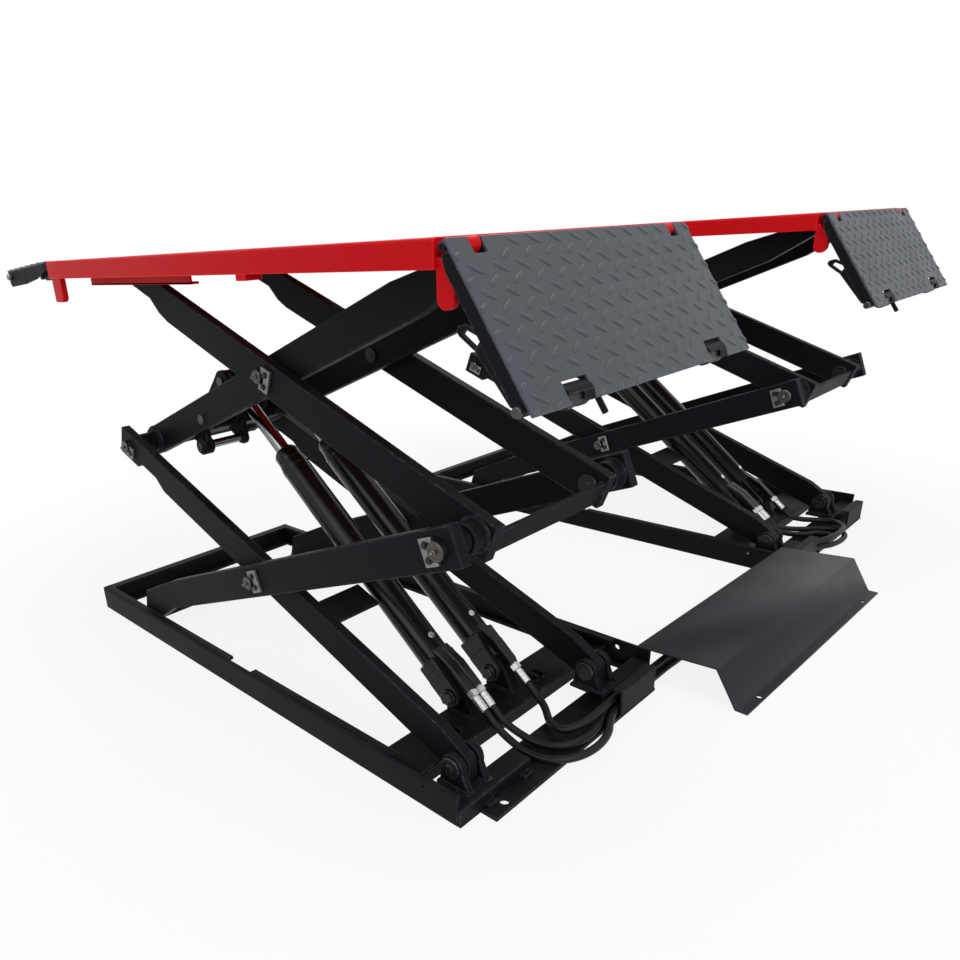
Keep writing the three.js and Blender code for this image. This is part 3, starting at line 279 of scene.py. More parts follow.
    def piece(self, node, suffix, finishes, body, slot):
        """Ends the shape as a piece that rides on a body and stands for the solid of its name."""
        piece = settle(self.made(f"{node}_{suffix}", finishes), body)
        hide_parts(node)
        return piece



def settle(piece, body):
    if body:
        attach(piece, body)
    return piece


def cut(piece, cutter):
    """Cuts a closed shape out of a finished mesh, for holes that go right through."""
    change = piece.modifiers.new("holes", "BOOLEAN")
    change.operation, change.solver, change.object = "DIFFERENCE", "EXACT", cutter
    change.use_self = True
    apply_all(piece)
    bpy.data.objects.remove(cutter)
    piece.data.set_sharp_from_angle(angle=CUT_SHADING_ANGLE)


def apply_all(piece):
    bpy.context.view_layer.update()
    evaluated = piece.evaluated_get(bpy.context.evaluated_depsgraph_get())
    mesh = bpy.data.meshes.new_from_object(evaluated)
    piece.modifiers.clear()
    piece.data = mesh


# Node trees

FLOAT, VECTOR, GEOMETRY = "NodeSocketFloat", "NodeSocketVector", "NodeSocketGeometry"


def new_tree(name, kind, inputs, outputs):
    tree = bpy.data.node_groups.new(name, kind)
    for label, socket, value in inputs:
        made = tree.interface.new_socket(label, in_out="INPUT", socket_type=socket)
        if value is not None:
            made.default_value = value
    for label, socket in outputs:
        tree.interface.new_socket(label, in_out="OUTPUT", socket_type=socket)
    return tree, tree.nodes.new("NodeGroupInput"), tree.nodes.new("NodeGroupOutput")


def shader_tree(name, inputs, *outputs):
    kinds = [(label, VECTOR if isinstance(value, tuple) else FLOAT, value) for label, value in inputs]
    return new_tree(name, "ShaderNodeTree", kinds, [(label, FLOAT) for label in outputs])


def geometry_tree(name, inputs):
    """A tree from geometry to geometry, with sizes and a material as its inputs."""
    kinds = [("Geometry", GEOMETRY, None), *((label, FLOAT, value) for label, value in inputs),
             ("Material", "NodeSocketMaterial", None)]
    return new_tree(name, "GeometryNodeTree", kinds, [("Geometry", GEOMETRY)])


def add(tree, kind, values=None, **settings):
    node = tree.nodes.new(kind)
    for key, value in settings.items():
        setattr(node, key, value)
    for key, value in (values or {}).items():
        node.inputs[key].default_value = value
    return node


def wire(tree, *links):
    """Links sockets. Each link is a node, its output, a node and its input."""
    for source, out, target, into in links:
        tree.links.new(source.outputs[out], target.inputs[into])


def edge_highlight_and_wear_group(name):
    """How near a point is to a sharp edge, which the materials use for a painted highlight along their edges,
    and the same broken up as rubbed paint is, for wear.
    """
    tree, entry, leave = shader_tree(name, (("Width", 0.003), ("Breakup", 60.0)), "Edge", "Worn")
    bevel = add(tree, "ShaderNodeBevel", samples=4)
    surface = add(tree, "ShaderNodeNewGeometry")
    dot = add(tree, "ShaderNodeVectorMath", operation="DOT_PRODUCT")
    gap = add(tree, "ShaderNodeMath", {0: 1.0}, operation="SUBTRACT")
    level = add(tree, "ShaderNodeMath", {1: 9.0}, operation="MULTIPLY", use_clamp=True)
    where = add(tree, "ShaderNodeTexCoord")
    noise = add(tree, "ShaderNodeTexNoise", {"Detail": 4.0, "Roughness": 0.7})
    sharpen = add(tree, "ShaderNodeMapRange", {1: 0.52, 2: 0.66})
    both = add(tree, "ShaderNodeMath", operation="MULTIPLY")
    wire(tree, (entry, "Width", bevel, "Radius"), (bevel, 0, dot, 0), (surface, "Normal", dot, 1),
         (dot, "Value", gap, 1), (gap, 0, level, 0), (where, "Object", noise, "Vector"),
         (entry, "Breakup", noise, "Scale"), (noise, "Fac", sharpen, 0), (level, 0, both, 0),
         (sharpen, 0, both, 1), (level, 0, leave, "Edge"), (both, 0, leave, "Worn"))
    return tree


def grain_group(name):
    """Fine surface texture, and the slow cloudiness under it."""
    tree, entry, leave = shader_tree(
        name, (("Fine Scale", 900.0), ("Cloud Scale", 6.0), ("Stretch", (1.0, 1.0, 1.0))), "Fine", "Cloud")
    where = add(tree, "ShaderNodeTexCoord")
    drawn = add(tree, "ShaderNodeVectorMath", operation="MULTIPLY")
    fine = add(tree, "ShaderNodeTexNoise", {"Detail": 3.0, "Roughness": 0.55})
    cloud = add(tree, "ShaderNodeTexNoise", {"Detail": 4.0, "Roughness": 0.6})
    wire(tree, (where, "Object", drawn, 0), (entry, "Stretch", drawn, 1), (drawn, 0, fine, "Vector"),
         (entry, "Fine Scale", fine, "Scale"), (where, "Object", cloud, "Vector"),
         (entry, "Cloud Scale", cloud, "Scale"), (fine, "Fac", leave, "Fine"), (cloud, "Fac", leave, "Cloud"))
    return tree


def dust_group(name):
    """Light dust that settles on faces that look up."""
    tree, entry, leave = shader_tree(name, (("Amount", 0.15), ("Scale", 14.0)), "Dust")
    surface = add(tree, "ShaderNodeNewGeometry")
    split = add(tree, "ShaderNodeSeparateXYZ")
    up = add(tree, "ShaderNodeMapRange", {1: 0.2, 2: 1.0})
    where = add(tree, "ShaderNodeTexCoord")
    patch = add(tree, "ShaderNodeTexNoise", {"Detail": 6.0, "Roughness": 0.65})
    spread = add(tree, "ShaderNodeMapRange", {1: 0.35, 2: 0.75})
    both = add(tree, "ShaderNodeMath", operation="MULTIPLY")
    final = add(tree, "ShaderNodeMath", operation="MULTIPLY", use_clamp=True)
    wire(tree, (surface, "Normal", split, 0), (split, "Z", up, 0), (where, "Object", patch, "Vector"),
         (entry, "Scale", patch, "Scale"), (patch, "Fac", spread, 0), (up, 0, both, 0), (spread, 0, both, 1),
         (both, 0, final, 0), (entry, "Amount", final, 1), (final, 0, leave, "Dust"))
    return tree


def bolts_tree(name):
    """Hexagon bolt heads on the points of a mesh, each on its washer, turned about X to point along Y."""
    tree, entry, leave = geometry_tree(
        name, (("Head Radius", 0.005), ("Head Height", 0.004), ("Washer Radius", 0.007), ("Turn", 0.0)))
    head = add(tree, "GeometryNodeMeshCylinder", {"Vertices": 6})
    washer = add(tree, "GeometryNodeMeshCylinder", {"Vertices": 20, "Depth": 0.0016})
    half = add(tree, "ShaderNodeMath", {1: 0.5}, operation="MULTIPLY")
    raise_by = add(tree, "ShaderNodeCombineXYZ")
    lift = add(tree, "GeometryNodeTransform")
    both = add(tree, "GeometryNodeJoinGeometry")
    tilt = add(tree, "ShaderNodeCombineXYZ")
    turn = add(tree, "GeometryNodeTransform")
    place = add(tree, "GeometryNodeInstanceOnPoints")
    real = add(tree, "GeometryNodeRealizeInstances")
    paint = add(tree, "GeometryNodeSetMaterial")
    wire(tree, (entry, "Head Radius", head, "Radius"), (entry, "Head Height", head, "Depth"),
         (entry, "Washer Radius", washer, "Radius"), (entry, "Head Height", half, 0),
         (half, 0, raise_by, "Z"), (raise_by, 0, lift, "Translation"), (head, "Mesh", lift, "Geometry"),
         (lift, 0, both, 0), (washer, "Mesh", both, 0), (both, 0, turn, "Geometry"),
         (entry, "Turn", tilt, "X"), (tilt, 0, turn, "Rotation"), (entry, "Geometry", place, "Points"),
         (turn, 0, place, "Instance"), (place, 0, real, 0), (real, 0, paint, "Geometry"),
         (entry, "Material", paint, "Material"), (paint, 0, leave, 0))
    return tree


def lozenge_tree(name):
    """Raised lozenges of checker plate over a sheet, leaning left and right by turns."""
    tree, entry, leave = geometry_tree(
        name, (("Length", 0.24), ("Width", 0.61), ("Row Pitch", 0.018), ("Pitch", 0.049), ("Lean", 0.56),
               ("Lozenge Length", 0.030), ("Lozenge Width", 0.0084), ("Lozenge Height", 0.0013)))

    def sums(operation, *values):
        """A Math node. Each value is a number, or a node and its output."""
        node = add(tree, "ShaderNodeMath", operation=operation)
        for i, value in enumerate(values):
            if isinstance(value, tuple):
                wire(tree, (*value, node, i))
            else:
                node.inputs[i].default_value = value
        return node, 0

    step, pitch = (entry, "Row Pitch"), (entry, "Pitch")
    rows = sums("FLOOR", sums("DIVIDE", (entry, "Length"), step))
    columns = sums("FLOOR", sums("DIVIDE", (entry, "Width"), pitch))
    sheet = add(tree, "GeometryNodeMeshGrid")
    seed = add(tree, "GeometryNodeMeshUVSphere", {"Segments": 10, "Rings": 6, "Radius": 1.0})
    size = add(tree, "ShaderNodeCombineXYZ")
    shape = add(tree, "GeometryNodeTransform")
    shift = add(tree, "GeometryNodeSetPosition")
    aside = add(tree, "ShaderNodeCombineXYZ")
    place = add(tree, "GeometryNodeInstanceOnPoints")
    where = add(tree, "GeometryNodeInputPosition")
    split = add(tree, "ShaderNodeSeparateXYZ")
    lean = add(tree, "ShaderNodeCombineXYZ")
    real = add(tree, "GeometryNodeRealizeInstances")
    smooth = add(tree, "GeometryNodeSetShadeSmooth")
    paint = add(tree, "GeometryNodeSetMaterial")
    row = sums("ROUND", sums("ADD", sums("DIVIDE", (split, "X"), step), sums("MULTIPLY", rows, 0.5)))
    turn = sums("MULTIPLY_ADD", sums("FLOORED_MODULO", row, 2.0), 2.0, -1.0)
    wire(tree, (*sums("MULTIPLY", rows, step), sheet, "Size X"),
         (*sums("MULTIPLY", columns, pitch), sheet, "Size Y"),
         (*sums("ADD", rows, 1.0), sheet, "Vertices X"), (*sums("ADD", columns, 1.0), sheet, "Vertices Y"),
         (*sums("MULTIPLY", (entry, "Lozenge Width"), 0.5), size, "X"),
         (*sums("MULTIPLY", (entry, "Lozenge Length"), 0.5), size, "Y"),
         (entry, "Lozenge Height", size, "Z"), (seed, "Mesh", shape, "Geometry"), (size, 0, shape, "Scale"),
         (where, 0, split, 0), (*sums("MULTIPLY", turn, sums("MULTIPLY", pitch, 0.25)), aside, "Y"),
         (*sums("MULTIPLY", turn, (entry, "Lean")), lean, "Z"), (sheet, "Mesh", shift, "Geometry"),
         (aside, 0, shift, "Offset"), (shift, 0, place, "Points"), (shape, 0, place, "Instance"),
         (lean, 0, place, "Rotation"), (place, 0, real, 0), (real, 0, smooth, "Geometry"),
         (smooth, 0, paint, "Geometry"), (entry, "Material", paint, "Material"), (paint, 0, leave, 0))
    return tree


TREES = {"edge wear": edge_highlight_and_wear_group, "grain": grain_group, "dust": dust_group, "bolt heads": bolts_tree,
         "checker plate": lozenge_tree}


def tree_named(name):
    """A node tree, built once."""
    return bpy.data.node_groups.get(name) or TREES[name](name)


def grown(name, tree, points, values):
    """A mesh made by a Geometry Nodes tree on loose points, turned into a plain mesh."""
    mesh = bpy.data.meshes.new(name)
    mesh.from_pydata([tuple(p) for p in points], [], [])
    piece = bpy.data.objects.new(name, mesh)
    bpy.context.scene.collection.objects.link(piece)
    change = piece.modifiers.new("grow", "NODES")
    change.node_group = tree_named(tree)
    for item in change.node_group.interface.items_tree:
        if item.item_type == "SOCKET" and item.in_out == "INPUT" and item.name in values:
            change[item.identifier] = values[item.name]
    apply_all(piece)
    return piece


# Finishes: colour or the name of its setting, roughness, and what differs from a plain finish

# edge: how many times lighter the colour is painted at sharp edges, a painted highlight
PLAIN = dict(metallic=0.0, edge=1.8, worn=0.0, cloud=0.12, fine=900.0, bump=0.00004, dust=0.05,
             stretch=(1, 1, 1), spread=0.12, specular=0.5)
FRAME, DECK, RAMP, COVER = "charcoal powder coat", "red powder coat", "grey powder coat", "slate powder coat"
BARREL, ZINC, BRIGHT_ZINC, MACHINED = "gloss black enamel", "zinc plate", "bright zinc", "machined steel"
CHROME, BRASS, DARK_STEEL, RUBBER = "hard chrome", "brass nipple", "black oxide steel", "hose rubber"
FINISHES = {
    FRAME: ("frame_color", 0.48, dict(edge=4.4, worn=0.3, fine=1400.0, bump=0.00005, specular=0.055)),
    DECK: ("deck_color", 0.38, dict(edge=1.5, cloud=0.05, fine=700.0, dust=0.006, specular=0.08)),
    RAMP: ("ramp_color", 0.44, dict(edge=1.7, cloud=0.08, fine=1100.0, bump=0.00005, dust=0.03,
                                    specular=0.35)),
    COVER: ("cover_color", 0.46, dict(edge=2.1, cloud=0.10, fine=1200.0, dust=0.02, specular=0.2)),
    BARREL: ("barrel_color", 0.25, dict(edge=2.6, worn=0.2, cloud=0.2, fine=500.0, bump=0.00003, dust=0.02,
                                        specular=0.22)),
    ZINC: ((0.19, 0.19, 0.19), 0.40, dict(metallic=0.9, edge=1.5, cloud=0.25, fine=500.0, bump=0.00006,
                                          spread=0.25)),
    BRIGHT_ZINC: ((0.50, 0.50, 0.49), 0.28, dict(metallic=1.0, edge=1.3, cloud=0.08, fine=300.0, bump=0.00001,
                                                 dust=0.03, spread=0.08)),
    MACHINED: ((0.072, 0.070, 0.067), 0.36, dict(metallic=0.95, edge=1.4, cloud=0.2, fine=260.0, bump=0.00005,
                                                 dust=0.04, stretch=(1, 12, 1), spread=0.2)),
    CHROME: ((0.21, 0.213, 0.218), 0.18, dict(metallic=1.0, edge=1.0, cloud=0.04, fine=800.0, bump=0.00001,
                                              dust=0.0, spread=0.05)),
    BRASS: ((0.13, 0.115, 0.09), 0.42, dict(metallic=1.0, edge=1.3, cloud=0.2, fine=600.0)),
    DARK_STEEL: ((0.011, 0.011, 0.012), 0.38, dict(metallic=0.1, edge=3.0, worn=0.4, cloud=0.3, fine=700.0,
                                                   bump=0.00005, dust=0.04, specular=0.3)),
    RUBBER: ((0.0075, 0.0075, 0.008), 0.44, dict(edge=1.4, cloud=0.3, fine=1500.0, bump=0.0001, dust=0.02,
                                                 spread=0.2, specular=0.2)),
}
BARE_METAL, DUST = (0.35, 0.35, 0.36, 1), (0.30, 0.29, 0.28, 1)
CLOUD_RANGE, DUST_ROUGHENS = (0.3, 0.7), 0.35


def group_node(tree, group, **values):
    node = add(tree, "ShaderNodeGroup", node_tree=tree_named(group))
    for key, value in values.items():
        node.inputs[key.replace("_", " ")].default_value = value
    return node


def mix_color(tree, fac, a, b):
    """A mix of two colours. Each value is a plain one or a socket."""
    node = add(tree, "ShaderNodeMix", data_type="RGBA")
    for value, socket in ((fac, node.inputs[0]), (a, node.inputs[6]), (b, node.inputs[7])):
        if isinstance(value, bpy.types.NodeSocket):
            tree.links.new(value, socket)
        else:
            socket.default_value = value
    return node.outputs[2]


def finish(name):
    """A material: colour with slow variation, a painted highlight along sharp edges, rubbed spots, dust, and
    grain.
    """
    if name in bpy.data.materials:
        return bpy.data.materials[name]
    color, roughness, given = FINISHES[name]
    color = getattr(bpy.context.scene.lift_finishes, color) if isinstance(color, str) else color
    v = {**PLAIN, **given}

    def shade(factor):
        return *(min(1.0, c * factor) for c in color), 1.0

    material = bpy.data.materials.new(name)
    material.use_nodes = True
    tree = material.node_tree
    bsdf = tree.nodes["Principled BSDF"]
    bsdf.inputs["Metallic"].default_value = v["metallic"]
    bsdf.inputs["Specular IOR Level"].default_value = v["specular"]
    grain = group_node(tree, "grain", Fine_Scale=v["fine"], Stretch=v["stretch"])
    edges = group_node(tree, "edge wear")
    dusty = group_node(tree, "dust", Amount=v["dust"])
    rubbed = add(tree, "ShaderNodeMath", {1: v["worn"]}, operation="MULTIPLY", use_clamp=True)
    tone = mix_color(tree, grain.outputs["Cloud"], shade(1 - v["cloud"]), shade(1 + v["cloud"]))
    # Sharp edges are painted lighter by the edge factor: a painted highlight
    edge_highlighted = mix_color(tree, edges.outputs["Edge"], tone, shade(v["edge"]))
    bare = mix_color(tree, rubbed.outputs[0], edge_highlighted, BARE_METAL)
    final = mix_color(tree, dusty.outputs["Dust"], bare, DUST)
    tree.links.new(final, bsdf.inputs["Base Color"])
    half = v["spread"] / 2
    ends = (*CLOUD_RANGE, roughness - half, roughness + half)
    low = add(tree, "ShaderNodeMapRange", dict(enumerate(ends, 1)))
    rougher = add(tree, "ShaderNodeMath", {1: DUST_ROUGHENS}, operation="MULTIPLY_ADD", use_clamp=True)
    relief = add(tree, "ShaderNodeBump", {"Strength": 1.0, "Distance": v["bump"]})
    wire(tree, (edges, "Worn", rubbed, 0), (grain, "Cloud", low, 0), (dusty, "Dust", rougher, 0),
         (low, 0, rougher, 2), (rougher, 0, bsdf, "Roughness"), (grain, "Fine", relief, "Height"),
         (relief, 0, bsdf, "Normal"))
    return material


# Settings


def color_setting(name, description, default):
    return bpy.props.FloatVectorProperty(name=name, description=description, subtype="COLOR", min=0, max=1,
                                         default=default)


def size_setting(name, description, default, low, high, **more):
    return bpy.props.FloatProperty(name=name, description=description, default=default, min=low, max=high,
                                   **more)


class LiftFinishes(bpy.types.PropertyGroup):
    """Colours of the painted pieces"""

    frame_color: color_setting("Frame", "Powder coat of the arms and base frames", (0.0070, 0.0078, 0.0098))
    deck_color: color_setting("Platform", "Powder coat of the platforms", (0.60, 0.0055, 0.0095))
    ramp_color: color_setting("Ramps", "Powder coat of the ramps", (0.047, 0.053, 0.065))
    cover_color: color_setting("Hose cover", "Powder coat of the cover between the units",
                               (0.0125, 0.0148, 0.0188))
    barrel_color: color_setting("Cylinders", "Enamel of the cylinder barrels", (0.006, 0.006, 0.0065))


class LiftDetails(bpy.types.PropertyGroup):
    """Sizes of the small visible details"""

    chamfer: size_setting("Plate chamfer", "Broken edge of the arm plates, in mm", 1.6, 0.2, 4)
    weld: size_setting("Weld bead", "Radius of the weld beads, in mm", 3.0, 1, 6)
    lozenge_row: size_setting("Checker rows", "Distance between rows of lozenges", 0.018, 0.01, 0.05,
                              unit="LENGTH")
    lozenge_pitch: size_setting("Checker pitch", "Distance between lozenges in a row", 0.049, 0.02, 0.1,
                                unit="LENGTH")
    lozenge_length: size_setting("Lozenge length", "Length of a raised lozenge", 0.030, 0.01, 0.05,
                                 unit="LENGTH")
    lozenge_width: size_setting("Lozenge width", "Width of a raised lozenge", 0.0084, 0.004, 0.02,
                                unit="LENGTH")
    lozenge_height: size_setting("Lozenge height", "How far a lozenge stands up", 0.0016, 0.0005, 0.004,
                                 unit="LENGTH")
    hose_radius: size_setting("Hose radius", "Outer radius of a hose, in mm", 7.6, 4, 12)
    camera_focus: size_setting("Focal length", "Camera lens", 28.57, 10, 200, subtype="DISTANCE_CAMERA")


def details():
    return bpy.context.scene.lift_details


# Camera, lamps and floor

PICTURE_WIDTH, CAMERA_SHIFT = 960, (107.4, 80.7)
AZIMUTH, TILT, ROLL = 0.833, 0.397, -0.063
EYE, AIM = (0.7015 + SHIFT_X, -1.7243, 0.8992), Vector((0, 0, 0.5))
LAMPS = (("key", (0.3, -7.0, 4.1), 4.6, 128), ("front", (4.4, -1.6, 2.6), 3.0, 80),
         ("back", (-3.4, 3.6, 3.4), 3.4, 45), ("top", (0.2, -0.2, 4.4), 3.6, 95))
FLOOR_HALF = 14


def seen_rays(tree):
    """1 for the rays that show the surroundings themselves, in the picture or in a shiny surface."""
    path = add(tree, "ShaderNodeLightPath")
    shiny = add(tree, "ShaderNodeMath", operation="ADD")
    seen = add(tree, "ShaderNodeMath", operation="ADD", use_clamp=True)
    wire(tree, (path, "Is Glossy Ray", shiny, 0), (path, "Is Transmission Ray", shiny, 1),
         (path, "Is Camera Ray", seen, 0), (shiny, 0, seen, 1))
    return seen, 0


class StageOperator(bpy.types.Operator):
    """Adds the camera, the lamps, the floor and the white surroundings"""

    bl_idname = "scissor_lift.stage"
    bl_label = "Camera and stage"

    def execute(self, context):
        scene = context.scene
        scene.view_settings.view_transform = "Standard"
        self.camera(scene)
        self.surroundings(scene)
        self.floor(scene)
        for name, spot, size, power in LAMPS:
            light = bpy.data.lights.new(name, "AREA")
            light.energy, light.size = power, size
            lamp = bpy.data.objects.new(name, light)
            lamp.location = spot
            lamp.rotation_euler = (AIM - Vector(spot)).to_track_quat("-Z", "Y").to_euler()
            scene.collection.objects.link(lamp)
        return {"FINISHED"}

    def camera(self, scene):
        data = bpy.data.cameras.new("camera")
        data.sensor_width, data.lens = 36.0, details().camera_focus
        data.shift_x, data.shift_y = (shift / PICTURE_WIDTH for shift in CAMERA_SHIFT)
        data.clip_start, data.clip_end = 0.05, 50
        flat = math.cos(TILT)
        ahead = Vector((-math.sin(AZIMUTH) * flat, math.cos(AZIMUTH) * flat, -math.sin(TILT)))
        level = Vector((math.cos(AZIMUTH), math.sin(AZIMUTH), 0))
        above = level.cross(ahead)
        right = level * math.cos(ROLL) + above * math.sin(ROLL)
        up = above * math.cos(ROLL) - level * math.sin(ROLL)
        camera = bpy.data.objects.new("camera", data)
        scene.collection.objects.link(camera)
        place = Matrix((right, up, -ahead)).transposed().to_4x4()
        place.translation = EYE
        camera.matrix_world = place
        scene.camera = camera

    def surroundings(self, scene):
        """Soft light all round, and plain white behind the lift."""
        scene.world = bpy.data.worlds.new("studio")
        scene.world.use_nodes = True
        tree = scene.world.node_tree
        tree.nodes.clear()
        soft = add(tree, "ShaderNodeBackground", {"Color": (0.95, 0.97, 1.0, 1), "Strength": 0.21})
        white = add(tree, "ShaderNodeBackground", {"Color": (1, 1, 1, 1), "Strength": 1.0})
        choose = add(tree, "ShaderNodeMixShader")
        leave = add(tree, "ShaderNodeOutputWorld")
        wire(tree, (*seen_rays(tree), choose, 0), (soft, 0, choose, 1), (white, 0, choose, 2),
             (choose, 0, leave, 0))

    def floor(self, scene):
        """A pale floor that keeps the soft shadow under the lift and fades to plain white further out."""
        mesh = bpy.data.meshes.new("floor")
        r = FLOOR_HALF
        mesh.from_pydata([(-r, -r, 0), (r, -r, 0), (r, r, 0), (-r, r, 0)], [], [(0, 1, 2, 3)])
        ground = bpy.data.objects.new("floor", mesh)
        scene.collection.objects.link(ground)
        pale = bpy.data.materials.new("pale floor")
        pale.use_nodes = True
        tree = pale.node_tree
        base = tree.nodes["Principled BSDF"]
        base.inputs["Base Color"].default_value = (0.95, 0.95, 0.955, 1)
        base.inputs["Roughness"].default_value = 0.7
        base.inputs["Specular IOR Level"].default_value = 0.1
        white = add(tree, "ShaderNodeEmission", {"Color": (1, 1, 1, 1), "Strength": 1.0})
        where = add(tree, "ShaderNodeTexCoord")
        away = add(tree, "ShaderNodeVectorMath", operation="LENGTH")
        fade = add(tree, "ShaderNodeMapRange", {1: 1.15, 2: 2.1, 3: 0.86, 4: 1.0},
                   interpolation_type="SMOOTHSTEP")
        share = add(tree, "ShaderNodeMath", operation="MULTIPLY")
        choose = add(tree, "ShaderNodeMixShader")
        wire(tree, (where, "Object", away, 0), (away, "Value", fade, 0), (fade, 0, share, 0),
             (*seen_rays(tree), share, 1), (share, 0, choose, 0), (base, 0, choose, 1), (white, 0, choose, 2),
             (choose, 0, tree.nodes["Material Output"], "Surface"))
        mesh.materials.append(pale)


# Hose routes, in millimetres of a unit

HOSE_SLOTS = ((56.5, 16.5), (64.7, 33), (73, 16.5))
GUARD_REACH = (170, 262, 300, 321)
HOSE_PORTS = ((0, 11), (1, 0), (0, -11))
NEAR_LOOPS = (
    ((-12, -72, 28), (25, -62, 17), (60, -44, 17), (80, 0, 17), (79, 52, 17), (63, 104, 17), (57, 140, 16.5)),
    ((-20, 24, 34), (15, -5, 27), (45, -12, 30), (65, 25, 33), (68, 80, 35), (64, 130, 34)),
    ((-10, -100, 27), (35, -99, 17), (76, -84, 17), (103, -46, 17), (112, 2, 17), (105, 50, 17), (86, 91, 17),
     (74, 127, 16.5)),
)
FAR_LOOPS = (
    ((-20, -42, 34), (5, 12, 22), (38, 60, 17), (80, 78, 17), (107, 46, 17), (113, -8, 17), (104, -56, 17),
     (86, -94, 17), (74, -128, 16.5)),
    ((-18, 50, 38), (14, 78, 34), (56, 92, 35), (92, 66, 37), (103, 12, 37), (96, -54, 36), (80, -100, 35),
     (66, -140, 34)),
    ((-16, -74, 30), (18, -24, 19), (50, 20, 17), (78, 18, 17), (87, -26, 17), (74, -72, 17), (58, -110, 17),
     (57, -146, 16.5)),
)
FAR_ORDER = (2, 1, 0)
CROSSING = ((280, 14, 31), (150, 9, 25), (0, 8.4, 24), (-150, 9, 25), (-280, 14, 31))
HOSE_LEAD, GAP, HOSE_GAP, STRAIGHT, UPPER_SLOT = 30, 0.3, 0.8, 16, 20


def hose_lead(port):
    """The straight start of a hose, out of the fitting on its cylinder."""
    cylinder, offset = port
    cos, sin = math.cos(PITCH), math.sin(PITCH)
    return [(-CYLINDER_X + s * cos + FITTING_RISE * sin, CYLINDER_Y[cylinder] + offset,
             CYLINDER_Z - s * sin + FITTING_RISE * cos)
            for s in (FITTING_REACH + GAP, FITTING_REACH + GAP + HOSE_LEAD)]


def rounded(points, step=9.0):
    """A smooth route through every point, passing each at the pace of its distance to the next."""
    p = [Vector(q) for q in points]
    p = [p[0] * 2 - p[1], *p, p[-1] * 2 - p[-2]]
    route = []
    for i in range(1, len(p) - 2):
        row, t = p[i - 1 : i + 3], [0.0]
        for u, v in zip(row, row[1:]):
            t.append(t[-1] + max((v - u).length, 1e-6) ** 0.5)
        count = max(2, round((row[2] - row[1]).length / step))
        for k in range(count + (i == len(p) - 3)):
            s = t[1] + (t[2] - t[1]) * k / count
            ab, bc, cd = (row[j].lerp(row[j + 1], (s - t[j]) / (t[j + 1] - t[j])) for j in range(3))
            abc = ab.lerp(bc, (s - t[0]) / (t[2] - t[0]))
            bcd = bc.lerp(cd, (s - t[1]) / (t[3] - t[1]))
            route.append(abc.lerp(bcd, (s - t[1]) / (t[2] - t[1])))
    return route


class HosesOperator(bpy.types.Operator):
    """Lays the hydraulic hoses from the cylinders through the guards and under the cover"""

    bl_idname = "scissor_lift.hoses"
    bl_label = "Hoses"

    def hose(self, name, points, y, joined=None):
        radius = details().hose_radius
        at = moved(SHIFT_X, y) @ Matrix.Scale(MM, 4)
        route = rounded(points)
        shape = Shape(at)
        shape.tube(route, radius, 20)
        piece = shape.piece(name, "rubber", [RUBBER], None if joined else "base", "hose_rubber")
        if joined:
            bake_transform(piece)

    def execute(self, context):
        for i, port in enumerate(HOSE_PORTS):
            for unit, loops, turn in (("near", NEAR_LOOPS, 1), ("far", FAR_LOOPS, -1)):
                x, z = HOSE_SLOTS[i if unit == "near" else FAR_ORDER[i]]
                points = [*hose_lead(port), *loops[i], *((x, turn * y, z) for y in GUARD_REACH)]
                barrel = f"{unit}_cylinder_{port[0] + 1}_barrel"
                self.hose(f"{unit}_hose_{i + 1}", points, UNITS[unit], barrel)
            x, z = HOSE_SLOTS[i]
            end = UNITS["far"] / MM - GUARD_REACH[-1] - HOSE_GAP
            row = 2 if z > UPPER_SLOT else 1
            points = [(x, end, z), (x, end - STRAIGHT, z), *((x, c[0], c[row]) for c in CROSSING),
                      (x, STRAIGHT - end, z), (x, -end, z)]
            self.hose(f"crossing_hose_{i + 1}", points, 0)
        return {"FINISHED"}


